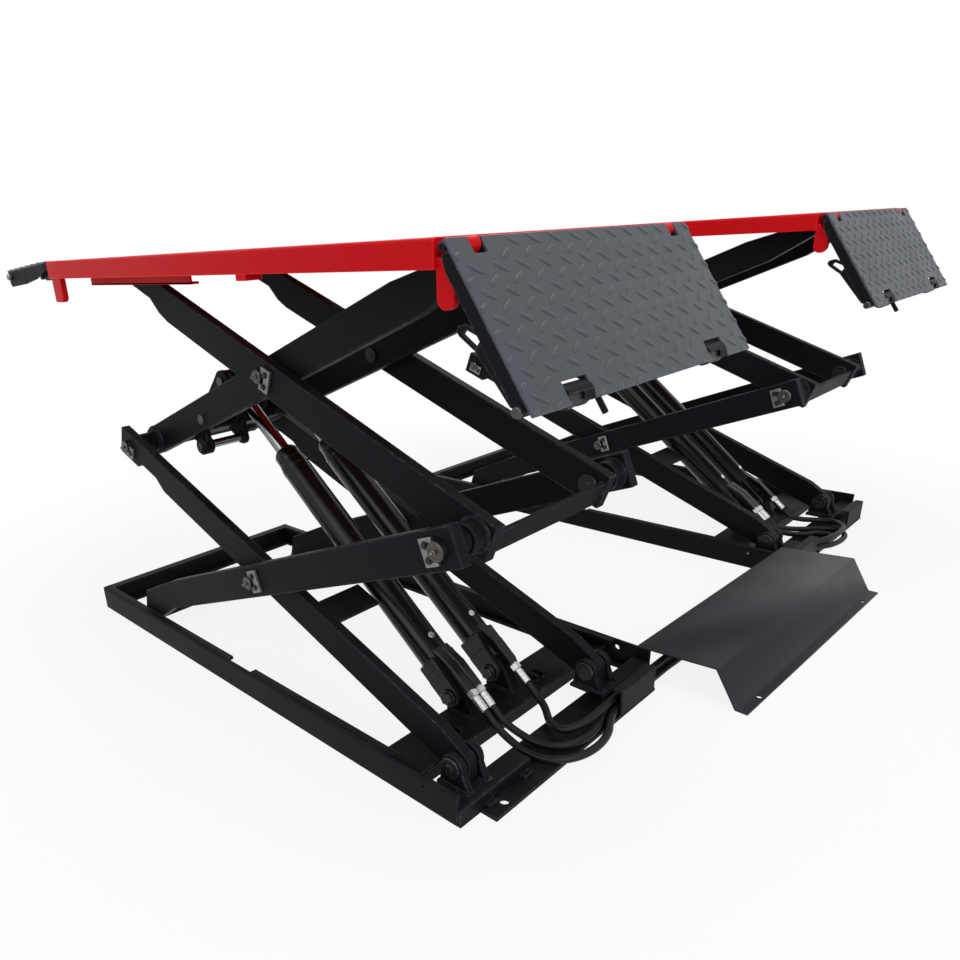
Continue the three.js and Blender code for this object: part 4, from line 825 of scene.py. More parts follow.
class BaseOperator(bpy.types.Operator):
    """Builds the two base frames with their rails, clevises, cross members and hose guards"""

    bl_idname = "scissor_lift.bases"
    bl_label = "Base frames"

    def execute(self, context):
        for unit, guards in (("near", (1,)), ("far", SIDES)):
            s, rails = Shape(unit_frame(unit), 5), Shape(unit_frame(unit), 5)
            self.rails(s, rails)
            self.front(s, unit == "near")
            self.middle(s, guards)
            self.clevises(s)
            self.lugs(s)
            s.piece(f"{unit}_base_frame", "paint", [FRAME, DARK_STEEL], "base", "frame_paint")
            rails.beam(44, GUARD_FRONT, 266, 0, 8)
            cut(settle(rails.made(f"{unit}_rails_paint", [FRAME]), "base"), self.holes(unit))
        return {"FINISHED"}

    def rails(self, s, rails):
        height, wall, bend, rear = RAIL_HEIGHT, RAIL_WALL, RAIL_BEND, BASE_REAR
        for side in SIDES:
            web, inside, lip = (side * (BASE_HALF - depth) for depth in (0, wall, RAIL_FLANGE))
            round_edge = [(web - side * (bend - y), height - bend + z)
                          for y, z in arc(0, 0, bend, 22.5, 90, 3)]
            corner = [(web, 0), (web, height - 7), (web, height - bend), *round_edge, (inside, height),
                      (inside, 0)]
            rails.prism(corner, rear, BASE_FRONT, 0.8, "X")
            for depth, top, runs in ((2, wall, ((rear, BASE_FRONT),)), (5, height, RAIL_LIPS)):
                y = web - side * depth
                for x0, x1 in runs:
                    s.prism([(y, top - wall), (y, top), (lip, top), (lip, top - wall)], x0, x1, 0.8, "X")
        s.beam(rear, rear + wall, BASE_HALF - 1, 0, height, 1)
        s.beam(rear + 2, rear + 26, BASE_HALF - 6, height - wall + 0.2, height - 0.2, 0.8)
        s.beam(rear + 2, rear + 26, BASE_HALF - 6, 0, wall, 0.8)

    def front(self, s, near):
        """The floor plate, its raised end plates and the front wall."""
        half, wall, face = BASE_HALF, RAIL_WALL, NEAR_FACE if near else BASE_FRONT
        s.beam(-9, BASE_FRONT, half - 3, 0, wall, 0.8)
        for side, start, end in ((-1, 125, face), (1, 137, BASE_FRONT - 1)):
            s.box(11, end - 1, *pair(side, start, half - 6), SHELF_Z, SHELF_Z + SHELF_PLATE, 1.4)
            s.box(-32, 13, *span(side, 240, 172), SHELF_Z + 0.2, SHELF_Z + SHELF_PLATE - 0.2)
            s.box(13, BASE_FRONT - 4, *pair(side, half - 12, half - 6), 4, 30, 0.5)
        if near:
            s.box(BASE_FRONT + 0.2, face, -half, -125, 0, WALL_Z, 1.4)
        else:
            s.box(BASE_FRONT - wall, BASE_FRONT, -half + 3, -125, 0, WALL_Z, 1.4)
        s.box(BASE_FRONT - 7, BASE_FRONT - 1, 137, half - 6, 4, 30, 1)
        for y in (-243, -143):
            s.box(face - 1, face + 11, y - 12, y + 12, wall - 1, wall + 7, 2)

    def middle(self, s, guards):
        """The hose guards and the cylinders' cross member."""
        front, top, plate = GUARD_FRONT, GUARD_TOP, GUARD_PLATE
        for side in guards:
            y0, y1 = pair(side, *GUARD_Y)
            s.prism([(y0, 4), (y1, 4), (y1, top), (y0, top)], front - plate, front, 1.4, "X")
            s.box(front - 22, front - 2, y0, y1, top - plate, top, 1.4)
        member, plate = BASE_HALF - 4, MEMBER_PLATE
        s.beam(MEMBER_REAR, MEMBER_FRONT, member, MEMBER_TOP - plate, MEMBER_TOP, 1.4)
        for x in (MEMBER_REAR, MEMBER_FRONT - plate):
            s.beam(x, x + plate, member, 3, MEMBER_TOP - 3, 1)
        for y in (-172, -150, 96, 118):
            s.box(-112, -84, y - 5, y + 5, MEMBER_TOP - 1, 46, 1.4)
        s.weld((MEMBER_FRONT + 1, -member + 4, MEMBER_TOP), (MEMBER_FRONT + 1, member - 4, MEMBER_TOP),
               details().weld)

    def clevises(self, s):
        """The plates that hold the lower inner arms, with their hinge pins."""
        outline = [(-29, 30), (39, 30), *arc(0, HINGE_Z, 24, -15, 195, 20)]
        for side in SIDES:
            for y0, y1 in (span(side, 236, 222), span(side, 190, 176)):
                s.prism(outline, y0, y1, 1.6)
                for y in (y0, y1):
                    s.weld((-28, y, 35), (38, y, 35), details().weld)
            ends = span(side, 237.5, 174.5)
            s.rod(HINGE_PIN, *ends, 0, HINGE_Z, edge=1.5)
            s.slot = 1
            for y, out in zip(ends, SIDES):
                s.rod(19, *sorted((y - out, y + out * 3)), 0, HINGE_Z, edge=1.2)
                s.rod(7, *sorted((y + out * 2, y + out * 5)), 0, HINGE_Z, edge=0.8, steps=20)
            s.slot = 0

    def lugs(self, s):
        """The lugs and bolts that hold the cylinders."""
        x, z = -CYLINDER_X, CYLINDER_Z
        lug = [(x - 24, 30), (x + 48, 30), *arc(x, z, 22, 20, 180, 16)]
        for y in CYLINDER_Y:
            s.prism(lug, y - 13, y + 13, 1.6)
            for edge in (-13.5, 13.5):
                s.weld((x - 20, y + edge, 35), (x + 46, y + edge, 35), details().weld)
            s.slot = 1
            head = y - 33.3
            s.rod(12, head - 4, y + 37.5, x, z)
            s.rod(17, head - 3.5, head, x, z, edge=0.8)
            s.hexagon(14, head - 11, head - 3, x, z)
            s.rod(16, y + 37, y + 40.5, x, z)
            s.slot = 0

    def holes(self, unit):
        holes = Shape(unit_frame(unit))
        for side in SIDES:
            holes.turned([(-5, 0), (-5, 9), (14, 9), (14, 0)], (70, side * 222, 0), "Z", 28)
            radius = 7 if side > 0 else 3.5
            y0, y1 = pair(side, BASE_HALF + 4, BASE_HALF - RAIL_WALL - 4)
            holes.turned([(y0, 0), (y0, radius), (y1, radius), (y1, 0)], (-29, 0, 41), "Y", 28)
        return holes.made("cutter")


# Outlines of the arm plates, each from its frame's own hinge

D = HALF_DEPTH
ARM_OUTLINES = {
    "lower_outer": [*arc(0, -SLIDE_DROP, 20, 150, 270), (44, -56), (150, -D), (ARM + 34, -D), (ARM + 34, D),
                    (190, D), (30, 24)],
    "lower_inner": [*arc(0, 0, D, -90, -25, 10), *arc(0, 0, 22, 15, 70, 6), (-56, D), (-ARM - 37, D),
                    (-ARM - 37, -D), (-ARM + 44, -D), (-ARM + 62, -18), (-ARM + 126, -18), (-ARM + 164, -D)],
    "upper_outer": [(34, -D), (34, D), (-ARM + 190, D), *arc(-ARM, 0, 13, 90, 180), (-ARM - 13, -11),
                    (-ARM + 150, -11), (-ARM + 190, -D + 5.5), (-ARM + 224, -D)],
    "upper_inner": [(-11, -D), (ARM - 150, -D), (ARM - 13, -13), *arc(ARM, 0, 13, -90, 90), (ARM - 190, D),
                    (-11, D)],
}
LOCK_X, LOCK_Z = 178, -62


class ArmsOperator(bpy.types.Operator):
    """Builds the four scissor arm frames of each unit"""

    bl_idname = "scissor_lift.arms"
    bl_label = "Scissor arms"

    def execute(self, context):
        for unit in UNITS:
            for kind, outer in OUTER.items():
                s = Shape(unit_frame(unit) @ ARM_FRAMES[kind], 7)
                for side in SIDES:
                    s.prism(ARM_OUTLINES[kind], *span(side, outer, outer - PLATE), details().chamfer)
                getattr(self, kind)(s, details().weld)
                s.piece(f"{unit}_{kind}_arms", "paint", [FRAME, MACHINED, CHROME], f"{unit}_{kind}",
                        "frame_paint")
        return {"FINISHED"}

    def through(self, s, radius, outer, x, z=0.0):
        """A round bar across the stack, into the middle of both plates."""
        half = outer - PLATE / 2
        s.rod(radius, ARM_SHIFT - half, ARM_SHIFT + half, x, z)

    def lower_outer(self, s, bead):
        self.through(s, 17.5, LOWER_OUTER, 0, -SLIDE_DROP)
        for side in SIDES:
            radius = MID_PIN + 4 if side < 0 else 27
            s.rod(radius, *span(side, LOWER_OUTER - PLATE - 0.2, 200.4), ARM, edge=1.5, steps=48)
            inner = ARM_SHIFT + side * (LOWER_OUTER - PLATE)
            s.ring_weld(radius + 0.8, inner, ARM, 0, bead)
            s.ring_weld(18.5, inner, 0, -SLIDE_DROP, bead * 0.8)

    def lower_inner(self, s, bead):
        self.through(s, 22, LOWER_INNER, -ARM)
        for side in SIDES:
            s.rod(24, *span(side, LOWER_OUTER - PLATE - 0.4, LOWER_INNER - 2), -HALF_ARM, steps=44)
            s.ring_weld(23, ARM_SHIFT + side * (LOWER_INNER - PLATE), -ARM, 0, bead)
            s.ring_weld(25, ARM_SHIFT + side * LOWER_INNER, -HALF_ARM, 0, bead * 0.7)
        inside = ARM_SHIFT - LOWER_INNER + PLATE
        s.box(-418, -352, inside - 1, inside + 110, 22, 30, 1.6)
        s.weld((-416, inside + 1, 21), (-354, inside + 1, 21), bead)

    def upper_outer(self, s, bead):
        self.through(s, 14.6, UPPER_OUTER, -ARM)
        for side in SIDES:
            radius = 27 if side < 0 else MID_PIN + 4
            s.rod(radius, *span(side, 199.8, UPPER_OUTER - 2), 0, edge=2, steps=48)
            s.ring_weld(radius + 1, ARM_SHIFT + side * UPPER_OUTER, 0, 0, bead)
            s.ring_weld(15.5, ARM_SHIFT + side * (UPPER_OUTER - PLATE), -ARM, 0, bead * 0.7)
        tie = UPPER_OUTER - PLATE
        s.box(21, 30, ARM_SHIFT - tie - 1, ARM_SHIFT + tie + 1, -25, 17, 1.4)
        for side in SIDES:
            y = ARM_SHIFT + side * (tie - 1)
            s.weld((20.5, y, -24), (20.5, y, 16), bead * 0.8)

    def upper_inner(self, s, bead):
        for side in SIDES:
            s.ring(32, 22.6, *span(side, UPPER_INNER + 8, UPPER_INNER - PLATE), edge=1.5, steps=48)
            s.ring_weld(33, ARM_SHIFT + side * UPPER_INNER, 0, 0, bead)
            s.rod(24, *span(side, UPPER_OUTER - PLATE - 0.4, UPPER_INNER - 2), HALF_ARM, steps=44)
        half = UPPER_INNER - PLATE / 2
        s.box(118, 190, ARM_SHIFT - half, ARM_SHIFT + half, -30, 14, 3)
        for side in SIDES:
            y = ARM_SHIFT + side * (UPPER_INNER - PLATE)
            s.weld((120, y, 15), (188, y, 15), bead)
            s.weld((191, y, -28), (191, y, 12), bead)
        self.brackets(s, bead)
        self.lock(s)

    def brackets(self, s, bead):
        """The plates on the cross shaft that the cylinder rods push on."""
        outline = [(118, -30), (190, -30), (LUG_U + 25, LUG_V - 12.5), *arc(LUG_U, LUG_V, 25, 0, 130, 12),
                   (118, 14)]
        for y in CYLINDER_Y:
            for side in SIDES:
                inner = y + side * 18.3
                outer = inner + side * 12
                s.prism(outline, *sorted((inner, outer)), 1.6)
                middle = (inner + outer) / 2 + side * 6.5
                s.weld((122, middle, 15), (186, middle, 15), bead)
                s.slot = 1
                low, high = sorted((outer, outer + side * 4.8))
                s.rod(11, low - 0.5, high, LUG_U, LUG_V, edge=1.2)
                s.slot = 0

    def lock(self, s):
        """The lock cylinder under the cross shaft, and the pin beside it."""
        near, far = ARM_SHIFT - 118, ARM_SHIFT - 18
        ear = [*arc(LOCK_X, LOCK_Z, 17, 180, 360, 16), (207, -13), (118, -13)]
        s.prism(ear, near, near + 13, 1.6)
        s.prism(ear, far + 2, far + 15, 1.6)
        s.rod(20, near - 13, near + 18, LOCK_X, LOCK_Z, edge=4)
        s.rod(14, far - 4, far + 3, LOCK_X, LOCK_Z, edge=1.5)
        s.slot = 2
        s.rod(9.5, near + 16, far - 2, LOCK_X, LOCK_Z)
        s.slot = 1
        s.rod(9, near - 16, near - 12, LOCK_X, LOCK_Z)
        s.rod(10.5, *span(-1, UPPER_INNER + 5.2, UPPER_INNER - 1), 246, -11, edge=1.4)
        s.slot = 0
        s.rod(14.5, *span(-1, UPPER_INNER + 2, UPPER_INNER - 1), 246, -11)


# Pins: the frame each sits in, its radius, the outer sides of the arms it joins, its place, and the side
# that its keeper plate is on
PINS = (("lower_centre_pin", "lower_outer", CENTRE_PIN, LOWER_OUTER, LOWER_INNER, HALF_ARM, 1),
        ("outer_joint_pin", "lower_outer", MID_PIN, LOWER_OUTER, UPPER_OUTER, ARM, -1),
        ("upper_centre_pin", "upper_outer", CENTRE_PIN, UPPER_OUTER, UPPER_INNER, -HALF_ARM, 1))
PIN_STANDS_OUT, KEEPER, KEEPER_HALF, KEEPER_BOLT_Z = 13, 7, 23, 12
NIPPLE = [(0, 0), (0, 4.2), (2, 4.2), (3, 2.4), (6, 2.2), (7, 3), (9, 2), (9.6, 0)]
BOLT_SIZES = {"Head Radius": 0.0052, "Head Height": 0.0042, "Washer Radius": 0.0066}


class PinsOperator(bpy.types.Operator):
    """Builds the joint pins with their collars, keeper plates, bolts and grease nipples"""

    bl_idname = "scissor_lift.pins"
    bl_label = "Joint pins"

    def execute(self, context):
        for unit in UNITS:
            bolts = {}
            for side in SIDES:
                for pin in PINS:
                    self.pin(unit, side, bolts, *pin)
                self.plug(unit, side, bolts)
            for (body, side), points in bolts.items():
                values = {**BOLT_SIZES, "Turn": -side * math.pi / 2, "Material": finish(DARK_STEEL)}
                settle(grown(f"{body}_keeper_bolts_{SIDES[side]}", "bolt heads", points, values), body)
        return {"FINISHED"}

    def nipple(self, s, side, x, face):
        """Grease nipple in the middle of a pin's end."""
        s.turned([(side * along, radius) for along, radius in NIPPLE], (x, face, 0), "Y", 16)

    def pin(self, unit, side, bolts, name, arms, radius, outer, beside, x, along):
        at = unit_frame(unit) @ ARM_FRAMES[arms]
        s, inner, end = Shape(at, 3), beside - PLATE, outer + PIN_STANDS_OUT
        out = ARM_SHIFT + side * end
        s.rod(radius, *span(side, end, inner - 4), x, 0, edge=2, steps=40)
        s.ring(radius - 4, radius - 6, *sorted((out - side, out + side * 0.35)), x, 0, edge=0.1)
        s.slot = 3
        s.rod(radius + 2, *span(side, inner - 0.3, inner - 5.3), x, 0)
        s.hexagon(6, *span(side, inner - 5, inner - 7.4), x, 0)
        s.slot = 1
        a, b = span(side, outer + 0.3 + KEEPER, outer + 0.3)
        mid = x + along * 19
        s.box(mid - 13.5, mid + 13.5, a, b, -KEEPER_HALF, KEEPER_HALF, 1)
        s.box(*sorted((x + along * 10, mid)), a, b, -radius, radius, 0.8)
        s.slot = 2
        self.nipple(s, side, x, out)
        body = f"{unit}_{arms}"
        s.piece(f"{unit}_{name}_{SIDES[side]}", "steel", [MACHINED, ZINC, BRASS, DARK_STEEL], body,
                "pin_steel")
        y = b if side > 0 else a
        bolts.setdefault((body, side), []).extend(
            at @ Vector((mid + along * 2, y, z)) for z in (-KEEPER_BOLT_Z, KEEPER_BOLT_Z))

    def plug(self, unit, side, bolts):
        """The short pin between a lower and an upper inner arm."""
        at = unit_frame(unit) @ ARM_FRAMES["lower_inner"]
        s, end, plate_x = Shape(at, 4), LOWER_INNER + PIN_STANDS_OUT, -ARM + 6.75
        s.rod(14.6, *span(side, end, LOWER_INNER - 62), -ARM, 0, edge=2, steps=40)
        s.slot = 1
        a, b = span(side, LOWER_INNER + 0.3 + KEEPER, LOWER_INNER + 0.3)
        s.box(plate_x - KEEPER_HALF, plate_x + KEEPER_HALF, a, b, -20.25, 6.75, 1)
        s.slot = 2
        self.nipple(s, side, -ARM, ARM_SHIFT + side * end)
        s.piece(f"{unit}_inner_joint_pin_{SIDES[side]}", "steel", [MACHINED, ZINC, BRASS],
                f"{unit}_lower_inner", "pin_steel")
        y = b if side > 0 else a
        bolts.setdefault((f"{unit}_lower_inner", side), []).append(at @ Vector((-ARM + 22, y, -7)))


class CylindersOperator(bpy.types.Operator):
    """Builds the hydraulic cylinders with their forks, glands, rods and hose fittings"""

    bl_idname = "scissor_lift.cylinders"
    bl_label = "Cylinders"

    def execute(self, context):
        for unit in UNITS:
            for i, y in enumerate(CYLINDER_Y):
                at = unit_frame(unit) @ moved(-CYLINDER_X, y, CYLINDER_Z) @ about_y(math.pi + PITCH)
                name = f"{unit}_cylinder_{i + 1}"
                ports = sorted(offset for cylinder, offset in HOSE_PORTS if cylinder == i)
                self.barrel(f"{name}_barrel", at, ports)
                self.rod(f"{name}_rod", at @ moved(REACH))
        return {"FINISHED"}

    def barrel(self, name, at, ports):
        s, rise, reach = Shape(at, 9), FITTING_RISE, FITTING_REACH
        tine = [*arc(0, 0, 24, 90, 270, 24), (46, -25), (46, 25)]
        for side in SIDES:
            s.prism(tine, *pair(side, 14, 33), 1.8)
        s.beam(43, 80, 33, -25, 25, 3)
        s.turned([(76, 0), (76, 27), (80, 31.5), (598, 31.5), (604, 30), (609, 29.5), (611, 28), (633, 28),
                  (640, 24), (640, 16.7), (566, 16.7), (566, 24.5), (88, 24.5), (88, 0)], (0, 0, 0), "X", 56)
        s.ring(31.9, 30, 589, 592, 0, 0, "X", 0.4, 56)
        bead = [(79 + 2.2 * math.cos(t), 31 + 2.4 * math.sin(t)) for t in (math.pi * k / 5 for k in range(6))]
        s.turned([(74, 0), (74, 28), *bead[::-1], (85, 29), (85, 0)], (0, 0, 0), "X", 56)
        block = [(-16, -rise - 7), (42, -rise - 7), (90, -32), (90, -22), (-16, -rise + 10)]
        for y in ports:
            s.prism(block, y - 10, y + 10, 2)
            s.slot = 1
            s.hexagon(11.2, -30, -16.5, y, -rise, "X")
            s.rod(8.4, -32, -15, y, -rise, "X")
            s.rod(9.4, -reach, -30, y, -rise, "X", 1.5)
            for x in range(6 - reach, 30 - reach, 8):
                s.ring(9.9, 7, x, x + 4, y, -rise, "X", 0.8, 28)
            s.slot = 0
        s.slot, s.at = 1, at @ moved(118, 0, -30) @ about_y(-math.pi / 2)
        s.hexagon(7.5, -2, 8, axis="X")
        s.piece(name, "paint", [BARREL, BRIGHT_ZINC], name, "barrel_paint")

    def rod(self, name, at):
        s = Shape(at, 9)
        s.rod(16, -556, -10, 0, 0, "X", 1.5, 48)
        s.rod(23.2, -556, -516, 0, 0, "X", 1.5, 40)
        s.slot = 1
        s.ring(24, 9, -17, 17, edge=1.6, steps=44)
        s.rod(10, -17.2, 17.2)
        s.piece(name, "steel", [CHROME, BARREL], name, "rod_chrome")


class PlatformsOperator(bpy.types.Operator):
    """Builds the two platforms with their skirts, slide tracks and hinge lugs"""

    bl_idname = "scissor_lift.platforms"
    bl_label = "Platforms"

    def execute(self, context):
        rear, under, bottom = DECK_REAR, DECK_RISE - DECK_PLATE, DECK_RISE - SKIRT
        wall, bend = DECK_HALF - 5.5, DECK_HALF - 6
        channel = [(-DECK_HALF, bottom), (-DECK_HALF, under - 2), *arc(-bend, under, 6, 180, 90, 6),
                   (2 - bend, DECK_RISE), (bend - 2, DECK_RISE), *arc(bend, under, 6, 90, 0, 6),
                   (DECK_HALF, under - 2), (DECK_HALF, bottom), (wall, bottom), (wall, under), (-wall, under),
                   (-wall, bottom)]
        for unit in UNITS:
            s = Shape(unit_frame(unit) @ moved(0, 0, TOP_Z), 6)
            s.prism(channel, rear, DECK_FRONT, 1.2, "X")
            for side in SIDES:
                self.fittings(s, side, under, bottom)
            s.beam(DECK_FRONT - 4, DECK_FRONT - 0.3, wall + 1, bottom + 0.3, under + 1, 1)
            s.beam(rear + 0.3, rear + 4, wall + 1, bottom + 0.3, under + 1, 1)
            for end, out in ((DECK_FRONT, 1), (rear, -1)):
                self.knuckles(s, end + out * RAMP_HINGE, out)
            s.piece(f"{unit}_platform", "paint", [DECK, MACHINED], f"{unit}_deck", "deck_paint")
        return {"FINISHED"}

    def fittings(self, s, side, under, bottom):
        """One side's slide track, hinge lugs, stop block and the lugs of the ramps."""
        outer, low = UPPER_OUTER + 15.6, DECK_RISE - TRACK_DEPTH
        s.box(*TRACK_X, *span(side, outer + 6, outer), low, under + 1)
        s.box(*TRACK_X, *span(side, outer + 6, UPPER_OUTER + 0.6), low, low + 5)
        ear = [(-14, under + 1), *arc(0, 0, 14, 180, 360, 16), (14, under + 1)]
        s.prism(ear, *span(side, UPPER_INNER + 13, UPPER_INNER + 3), 1)
        s.prism(ear, *span(side, UPPER_INNER - 25, UPPER_INNER - 35), 1)
        s.rod(9, *span(side, UPPER_INNER + 14, UPPER_INNER - 36))
        s.box(-421, -393, *pair(side, DECK_HALF - 36, DECK_HALF - 1), bottom - 10, bottom + 10, 1.5)
        rear, lug_y = DECK_REAR, side * (DECK_HALF - 12)
        lug = [(rear + 3, under + 1), *arc(rear + 8, bottom - 47, 5, 180, 270, 4),
               *arc(rear + 34, bottom - 38, 14, 270, 360, 8), (rear + 48, under + 1)]
        s.prism(lug, lug_y - 7, lug_y + 7, 1.6)
        toe = [(14, 0), *arc(29, -49, 15, 180, 360, 12), (44, -24.5), (18, 0)]
        s.prism(toe, *pair(side, DECK_HALF - 22, DECK_HALF - 8), 1.6)

    def knuckles(self, s, x, out):
        """The knuckles that a ramp hangs on, with their pins."""
        z = DECK_RISE - RAMP_TOP
        outline = [(x + out * u, z + v) for u, v in ((-15, 5), (-15, -26), *arc(0, 0, 10, -40, 90, 10))]
        for y in KNUCKLE_Y:
            s.prism(outline, y - 12, y + 12)
            s.slot = 1
            s.rod(6, y - 23.5, y + 23.5, x, z, steps=24)
            s.slot = 0


class RampsOperator(bpy.types.Operator):
    """Builds the checker plate ramps with their ribs, hinge ears and tip rollers"""

    bl_idname = "scissor_lift.ramps"
    bl_label = "Ramps"

    def execute(self, context):
        for unit in UNITS:
            for end, x, droop in (("front", DECK_FRONT + RAMP_HINGE, FRONT_DROOP),
                                  ("rear", DECK_REAR - RAMP_HINGE, REAR_DROOP)):
                turn = Matrix.Rotation(math.pi, 4, "Z") if end == "rear" else Matrix()
                at = unit_frame(unit) @ moved(x, 0, TOP_Z + DECK_RISE - RAMP_TOP) @ turn @ about_y(droop)
                name = f"{unit}_{end}_ramp"
                self.leaf(name, end == "front", at)
                self.lozenges(name, end == "front", at)
                self.rollers(f"{name}_rollers", at)
        return {"FINISHED"}

    def leaf(self, name, front, at):
        s, far, half, under = Shape(at, 8), RAMP_LENGTH, DECK_HALF, RAMP_TOP - RAMP_PLATE
        low = under - 18
        flat = [(-5, -half), (far, -half)]
        for side in SIDES:
            a, b = (side * ROLLER_Y + flank * NOTCH_HALF for flank in SIDES)
            flat += [(far, a), (far - NOTCH_DEPTH, a), (far - NOTCH_DEPTH, b), (far, b)]
        flat += [(far, half), (-5, half)]
        for y in KNUCKLE_Y[::-1]:
            a, b = y + KNUCKLE_HALF, y - KNUCKLE_HALF
            flat += [(-5, a), (19, a), (19, b), (-5, b)]
        s.prism(flat, under, RAMP_TOP, 1.2, "Z")
        s.slot = 1
        rib = [(9, under + 1), (9, low / 2), (27, low), (far - 18, low), (far - 6, under + 1)]
        for y in (-100, 100):
            s.prism(rib, y - 3, y + 3, 0.8)
        if not front:
            slot = far - 113
            rib = [(9, under + 1), (9, low / 2), (60, -22), (slot - 2, -27), (slot - 2, under - 3),
                   (slot + 2, under - 3), (slot + 2, -28), (far - 10, -28), (far - 4, -22),
                   (far - 4, under + 1)]
        gusset = [(124, low + 1), (129, -25), (far - 26, -15), (far - 22, low + 1)]
        catch = [(106, low + 1), (95, -19), (91, -31), (95, -37), (102, -36.5), (130, -25), (130, -18),
                 (104, -28.5), (102, -22), (118, low + 1)]
        for side in SIDES:
            s.prism(rib, *pair(side, half - 4.6, half), 0.8)
            for plate in (gusset, catch) if front else ():
                s.prism(plate, *pair(side, half - 4.4, half - 0.2), 0.8)
        ear = [*arc(0, 0, 9.6, 90, 270, 14), (27, low / 2), (27, under + 1), (9, under + 1)]
        for y in KNUCKLE_Y:
            for side in SIDES:
                s.prism(ear, *sorted((y + side * KNUCKLE_HALF, y + side * (KNUCKLE_HALF + 10))), 1)
        self.tip(s, under)
        if front:
            s.rod(4.4, far - 60, far + 21, -145, -4, "X", 1, 20)
        s.piece(name, "plate", [RAMP, FRAME, MACHINED if front else ZINC], name, "ramp_paint")

    def tip(self, s, under):
        """The ears, shields and axle ends round the tip rollers, and the ends of the hinge pin."""
        x, z = ROLLER_X, ROLLER_Z
        ear = [*arc(x, z, 12, 180, 360, 14), (RAMP_LENGTH, under + 1), (x - 30, under + 1)]
        for side in SIDES:
            y = side * ROLLER_Y
            for flank in SIDES:
                wall = y + flank * (NOTCH_HALF + 3)
                s.prism(ear, wall - 3, wall + 3, 0.8)
            for start, stop, edge in ((84, 165, 0.5 - NOTCH_HALF), (40, 84, 5)):
                shield = [*arc(x, z, 18.4, start, stop, 10), *arc(x, z, 16.4, stop, start, 10)]
                s.prism(shield, y + edge, y + NOTCH_HALF - 0.5, 0.3)
            s.rod(7.5, *pair(side, 240, 309.5), x, z, edge=1.2)
            s.slot = 2
            s.rod(5.5, *pair(side, 308, 313), x, z, edge=0.3)
            s.rod(7.5, *pair(side, 312, 317.7), x, z, edge=1.2)
            s.slot = 1
            s.rod(6, *pair(side, 296, 309.5), edge=1.2, steps=24)
        s.rod(7.5, -156, 156, x, z, edge=1.2)

    def lozenges(self, name, front, at):
        d = details()
        studs = grown(f"{name}_lozenges", "checker plate", [(0, 0, 0)], {
            "Length": (RAMP_LENGTH + 2) * MM, "Width": 2 * (DECK_HALF + 13) * MM, "Row Pitch": d.lozenge_row,
            "Pitch": d.lozenge_pitch, "Lozenge Length": d.lozenge_length, "Lozenge Width": d.lozenge_width,
            "Lozenge Height": d.lozenge_height, "Lean": math.radians(32), "Material": finish(RAMP)})
        studs.data.transform(at @ moved((RAMP_LENGTH + 4) / 2, 0, RAMP_TOP) @ Matrix.Scale(1 / MM, 4))
        self.clear_notches(studs, at, -5 if front else 10)
        settle(studs, name)

    def clear_notches(self, studs, at, start_x):
        """Trims the lozenges at the plate's edges and takes away those that would stand over a notch."""
        bm = bmesh.new()
        bm.from_mesh(studs.data)
        rim = DECK_HALF - 0.8
        for place, out in (((0, -rim, 0), (0, -1, 0)), ((0, rim, 0), (0, 1, 0)), ((-4.2, 0, 0), (-1, 0, 0)),
                           ((RAMP_LENGTH - 0.8, 0, 0), (1, 0, 0))):
            found = bmesh.ops.bisect_plane(bm, geom=[*bm.verts, *bm.edges, *bm.faces], clear_outer=True,
                                           plane_co=at @ Vector(place), plane_no=at.to_3x3() @ Vector(out))
            edges = [e for e in found["geom_cut"] if isinstance(e, bmesh.types.BMEdge)]
            bmesh.ops.holes_fill(bm, edges=edges)
        back, seen, gone = at.inverted(), set(), []

        def lost(p):
            notch = p.x > RAMP_LENGTH - NOTCH_DEPTH - 1 and abs(abs(p.y) - ROLLER_Y) < NOTCH_HALF + 1
            knuckle = p.x < 20 and abs(abs(p.y) - KNUCKLE_Y[1]) < KNUCKLE_HALF + 1
            return p.x < start_x or notch or knuckle

        for start in bm.verts:
            if start in seen:
                continue
            island = [start]
            seen.add(start)
            for v in island:
                beside = [other for edge in v.link_edges if (other := edge.other_vert(v)) not in seen]
                seen.update(beside)
                island += beside
            if any(lost(back @ v.co) for v in island):
                gone += island
        bmesh.ops.delete(bm, geom=gone, context="VERTS")
        bm.to_mesh(studs.data)
        bm.free()

    def rollers(self, name, at):
        s, half = Shape(at, 8), ROLLER_Y + NOTCH_HALF + 12
        s.slot = 1
        s.rod(6, -half, half, ROLLER_X, ROLLER_Z, steps=24)
        s.slot = 0
        flank = [(25, 0), (25, 12), (22, 15), (9, 15), (8, 14.2)]
        for side in SIDES:
            y = side * ROLLER_Y
            profile = [(y - along, r) for along, r in flank] + [(y + along, r) for along, r in flank[::-1]]
            s.turned(profile, (ROLLER_X, 0, ROLLER_Z), "Y", 40)
        s.piece(name, "turned", [DARK_STEEL, ZINC], name, "barrel_paint")


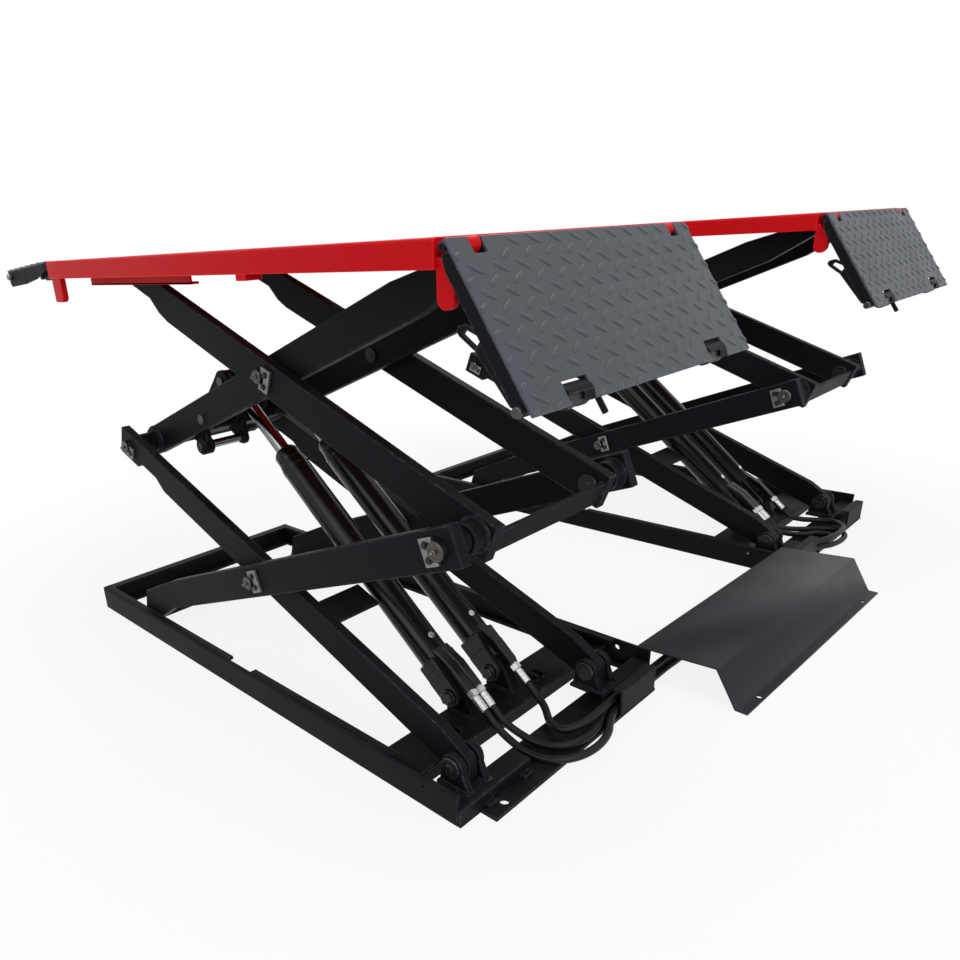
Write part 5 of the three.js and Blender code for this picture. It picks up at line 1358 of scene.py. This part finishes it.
class SlidesOperator(bpy.types.Operator):
    """Builds the slide axles and blocks in the rails and platform tracks"""

    bl_idname = "scissor_lift.slides"
    bl_label = "Slide blocks"

    def execute(self, context):
        x, z = -SPAN + SLIDE_DROP * math.sin(REST), HINGE_Z - SLIDE_DROP * math.cos(REST)
        half, outer = BASE_HALF - RAIL_WALL - 0.3, UPPER_OUTER + 15.3
        for unit in UNITS:
            lower = Shape(unit_frame(unit) @ moved(x, 0, z), 2)
            lower.rod(12.5, -half, half)
            upper = Shape(unit_frame(unit) @ moved(-SPAN, 0, TOP_Z), 2)
            upper.rod(9, ARM_SHIFT - outer, ARM_SHIFT + outer)
            lower.slot = upper.slot = 1
            for side in SIDES:
                lower.box(-35, 35, *pair(side, half, half - 12.6), -15, 15, 3)
                upper.box(-31, 31, *span(side, outer, UPPER_OUTER + 0.3), -16.5, 16.5, 3)
            for name, s in ((f"{unit}_lower_slide", lower), (f"{unit}_upper_slide", upper)):
                s.piece(f"{name}_axle", "steel", [MACHINED, DARK_STEEL], f"{name}r", "pin_steel")
        return {"FINISHED"}


# Hose cover: thickness, its back edge, its middle and half length across the lift, and its turn on the floor
COVER_PLATE, COVER_BACK, COVER_MIDDLE, COVER_HALF, COVER_TURN = 4, 20, 14, 369, math.radians(-1.8)


class CoverOperator(bpy.types.Operator):
    """Builds the bent hose cover that lies between the units"""

    bl_idname = "scissor_lift.cover"
    bl_label = "Hose cover"

    def execute(self, context):
        t, back, middle, half = COVER_PLATE, COVER_BACK, COVER_MIDDLE, COVER_HALF
        at = unit_frame("near") @ moved(back, middle - half - UNITS["near"] / MM, 0)
        at = at @ Matrix.Rotation(COVER_TURN, 4, "Z") @ moved(-back, half - middle, 0)
        sheet = [(back, 65.3), (196, 80), (242, t), (264, t), (264, 0), (238, 0), (192, 75), (back, 61.3)]
        s, holes = Shape(at, 2), Shape(at, 2)
        s.prism(sheet, middle - half, middle + half, 1)
        s.beam(back, back + t, 333, 35.3, 64.3, 1)
        for y in (middle - 292, middle + 292):
            holes.turned([(-5, 0), (-5, 6), (10, 6), (10, 0)], (253, y, 0), "Z", 24)
        cut(s.piece("hose_cover", "sheet", [COVER], "base", "ramp_paint"), holes.made("cutter"))
        return {"FINISHED"}


STEPS = (StageOperator, HosesOperator, BaseOperator, ArmsOperator, PinsOperator, CylindersOperator,
         PlatformsOperator, RampsOperator, SlidesOperator, CoverOperator)


class LiftPanel(bpy.types.Panel):
    """Lists the steps and settings of the lift"""

    bl_idname = "VIEW3D_PT_scissor_lift"
    bl_label = "Scissor Lift"
    bl_space_type = "VIEW_3D"
    bl_region_type = "UI"
    bl_category = "Scissor Lift"

    def draw(self, context):
        for group in (context.scene.lift_finishes, context.scene.lift_details):
            for key in group.__annotations__:
                self.layout.prop(group, key)
        for step in STEPS:
            self.layout.operator(step.bl_idname)


CLASSES = (LiftFinishes, LiftDetails, *STEPS, LiftPanel)


def register():
    for cls in CLASSES:
        bpy.utils.register_class(cls)
    bpy.types.Scene.lift_finishes = bpy.props.PointerProperty(type=LiftFinishes)
    bpy.types.Scene.lift_details = bpy.props.PointerProperty(type=LiftDetails)


def unregister():
    del bpy.types.Scene.lift_details
    del bpy.types.Scene.lift_finishes
    for cls in reversed(CLASSES):
        bpy.utils.unregister_class(cls)


def main():
    register()
    for step in STEPS:
        group, call = step.bl_idname.split(".")
        getattr(getattr(bpy.ops, group), call)()


if __name__ == "__main__":
    main()
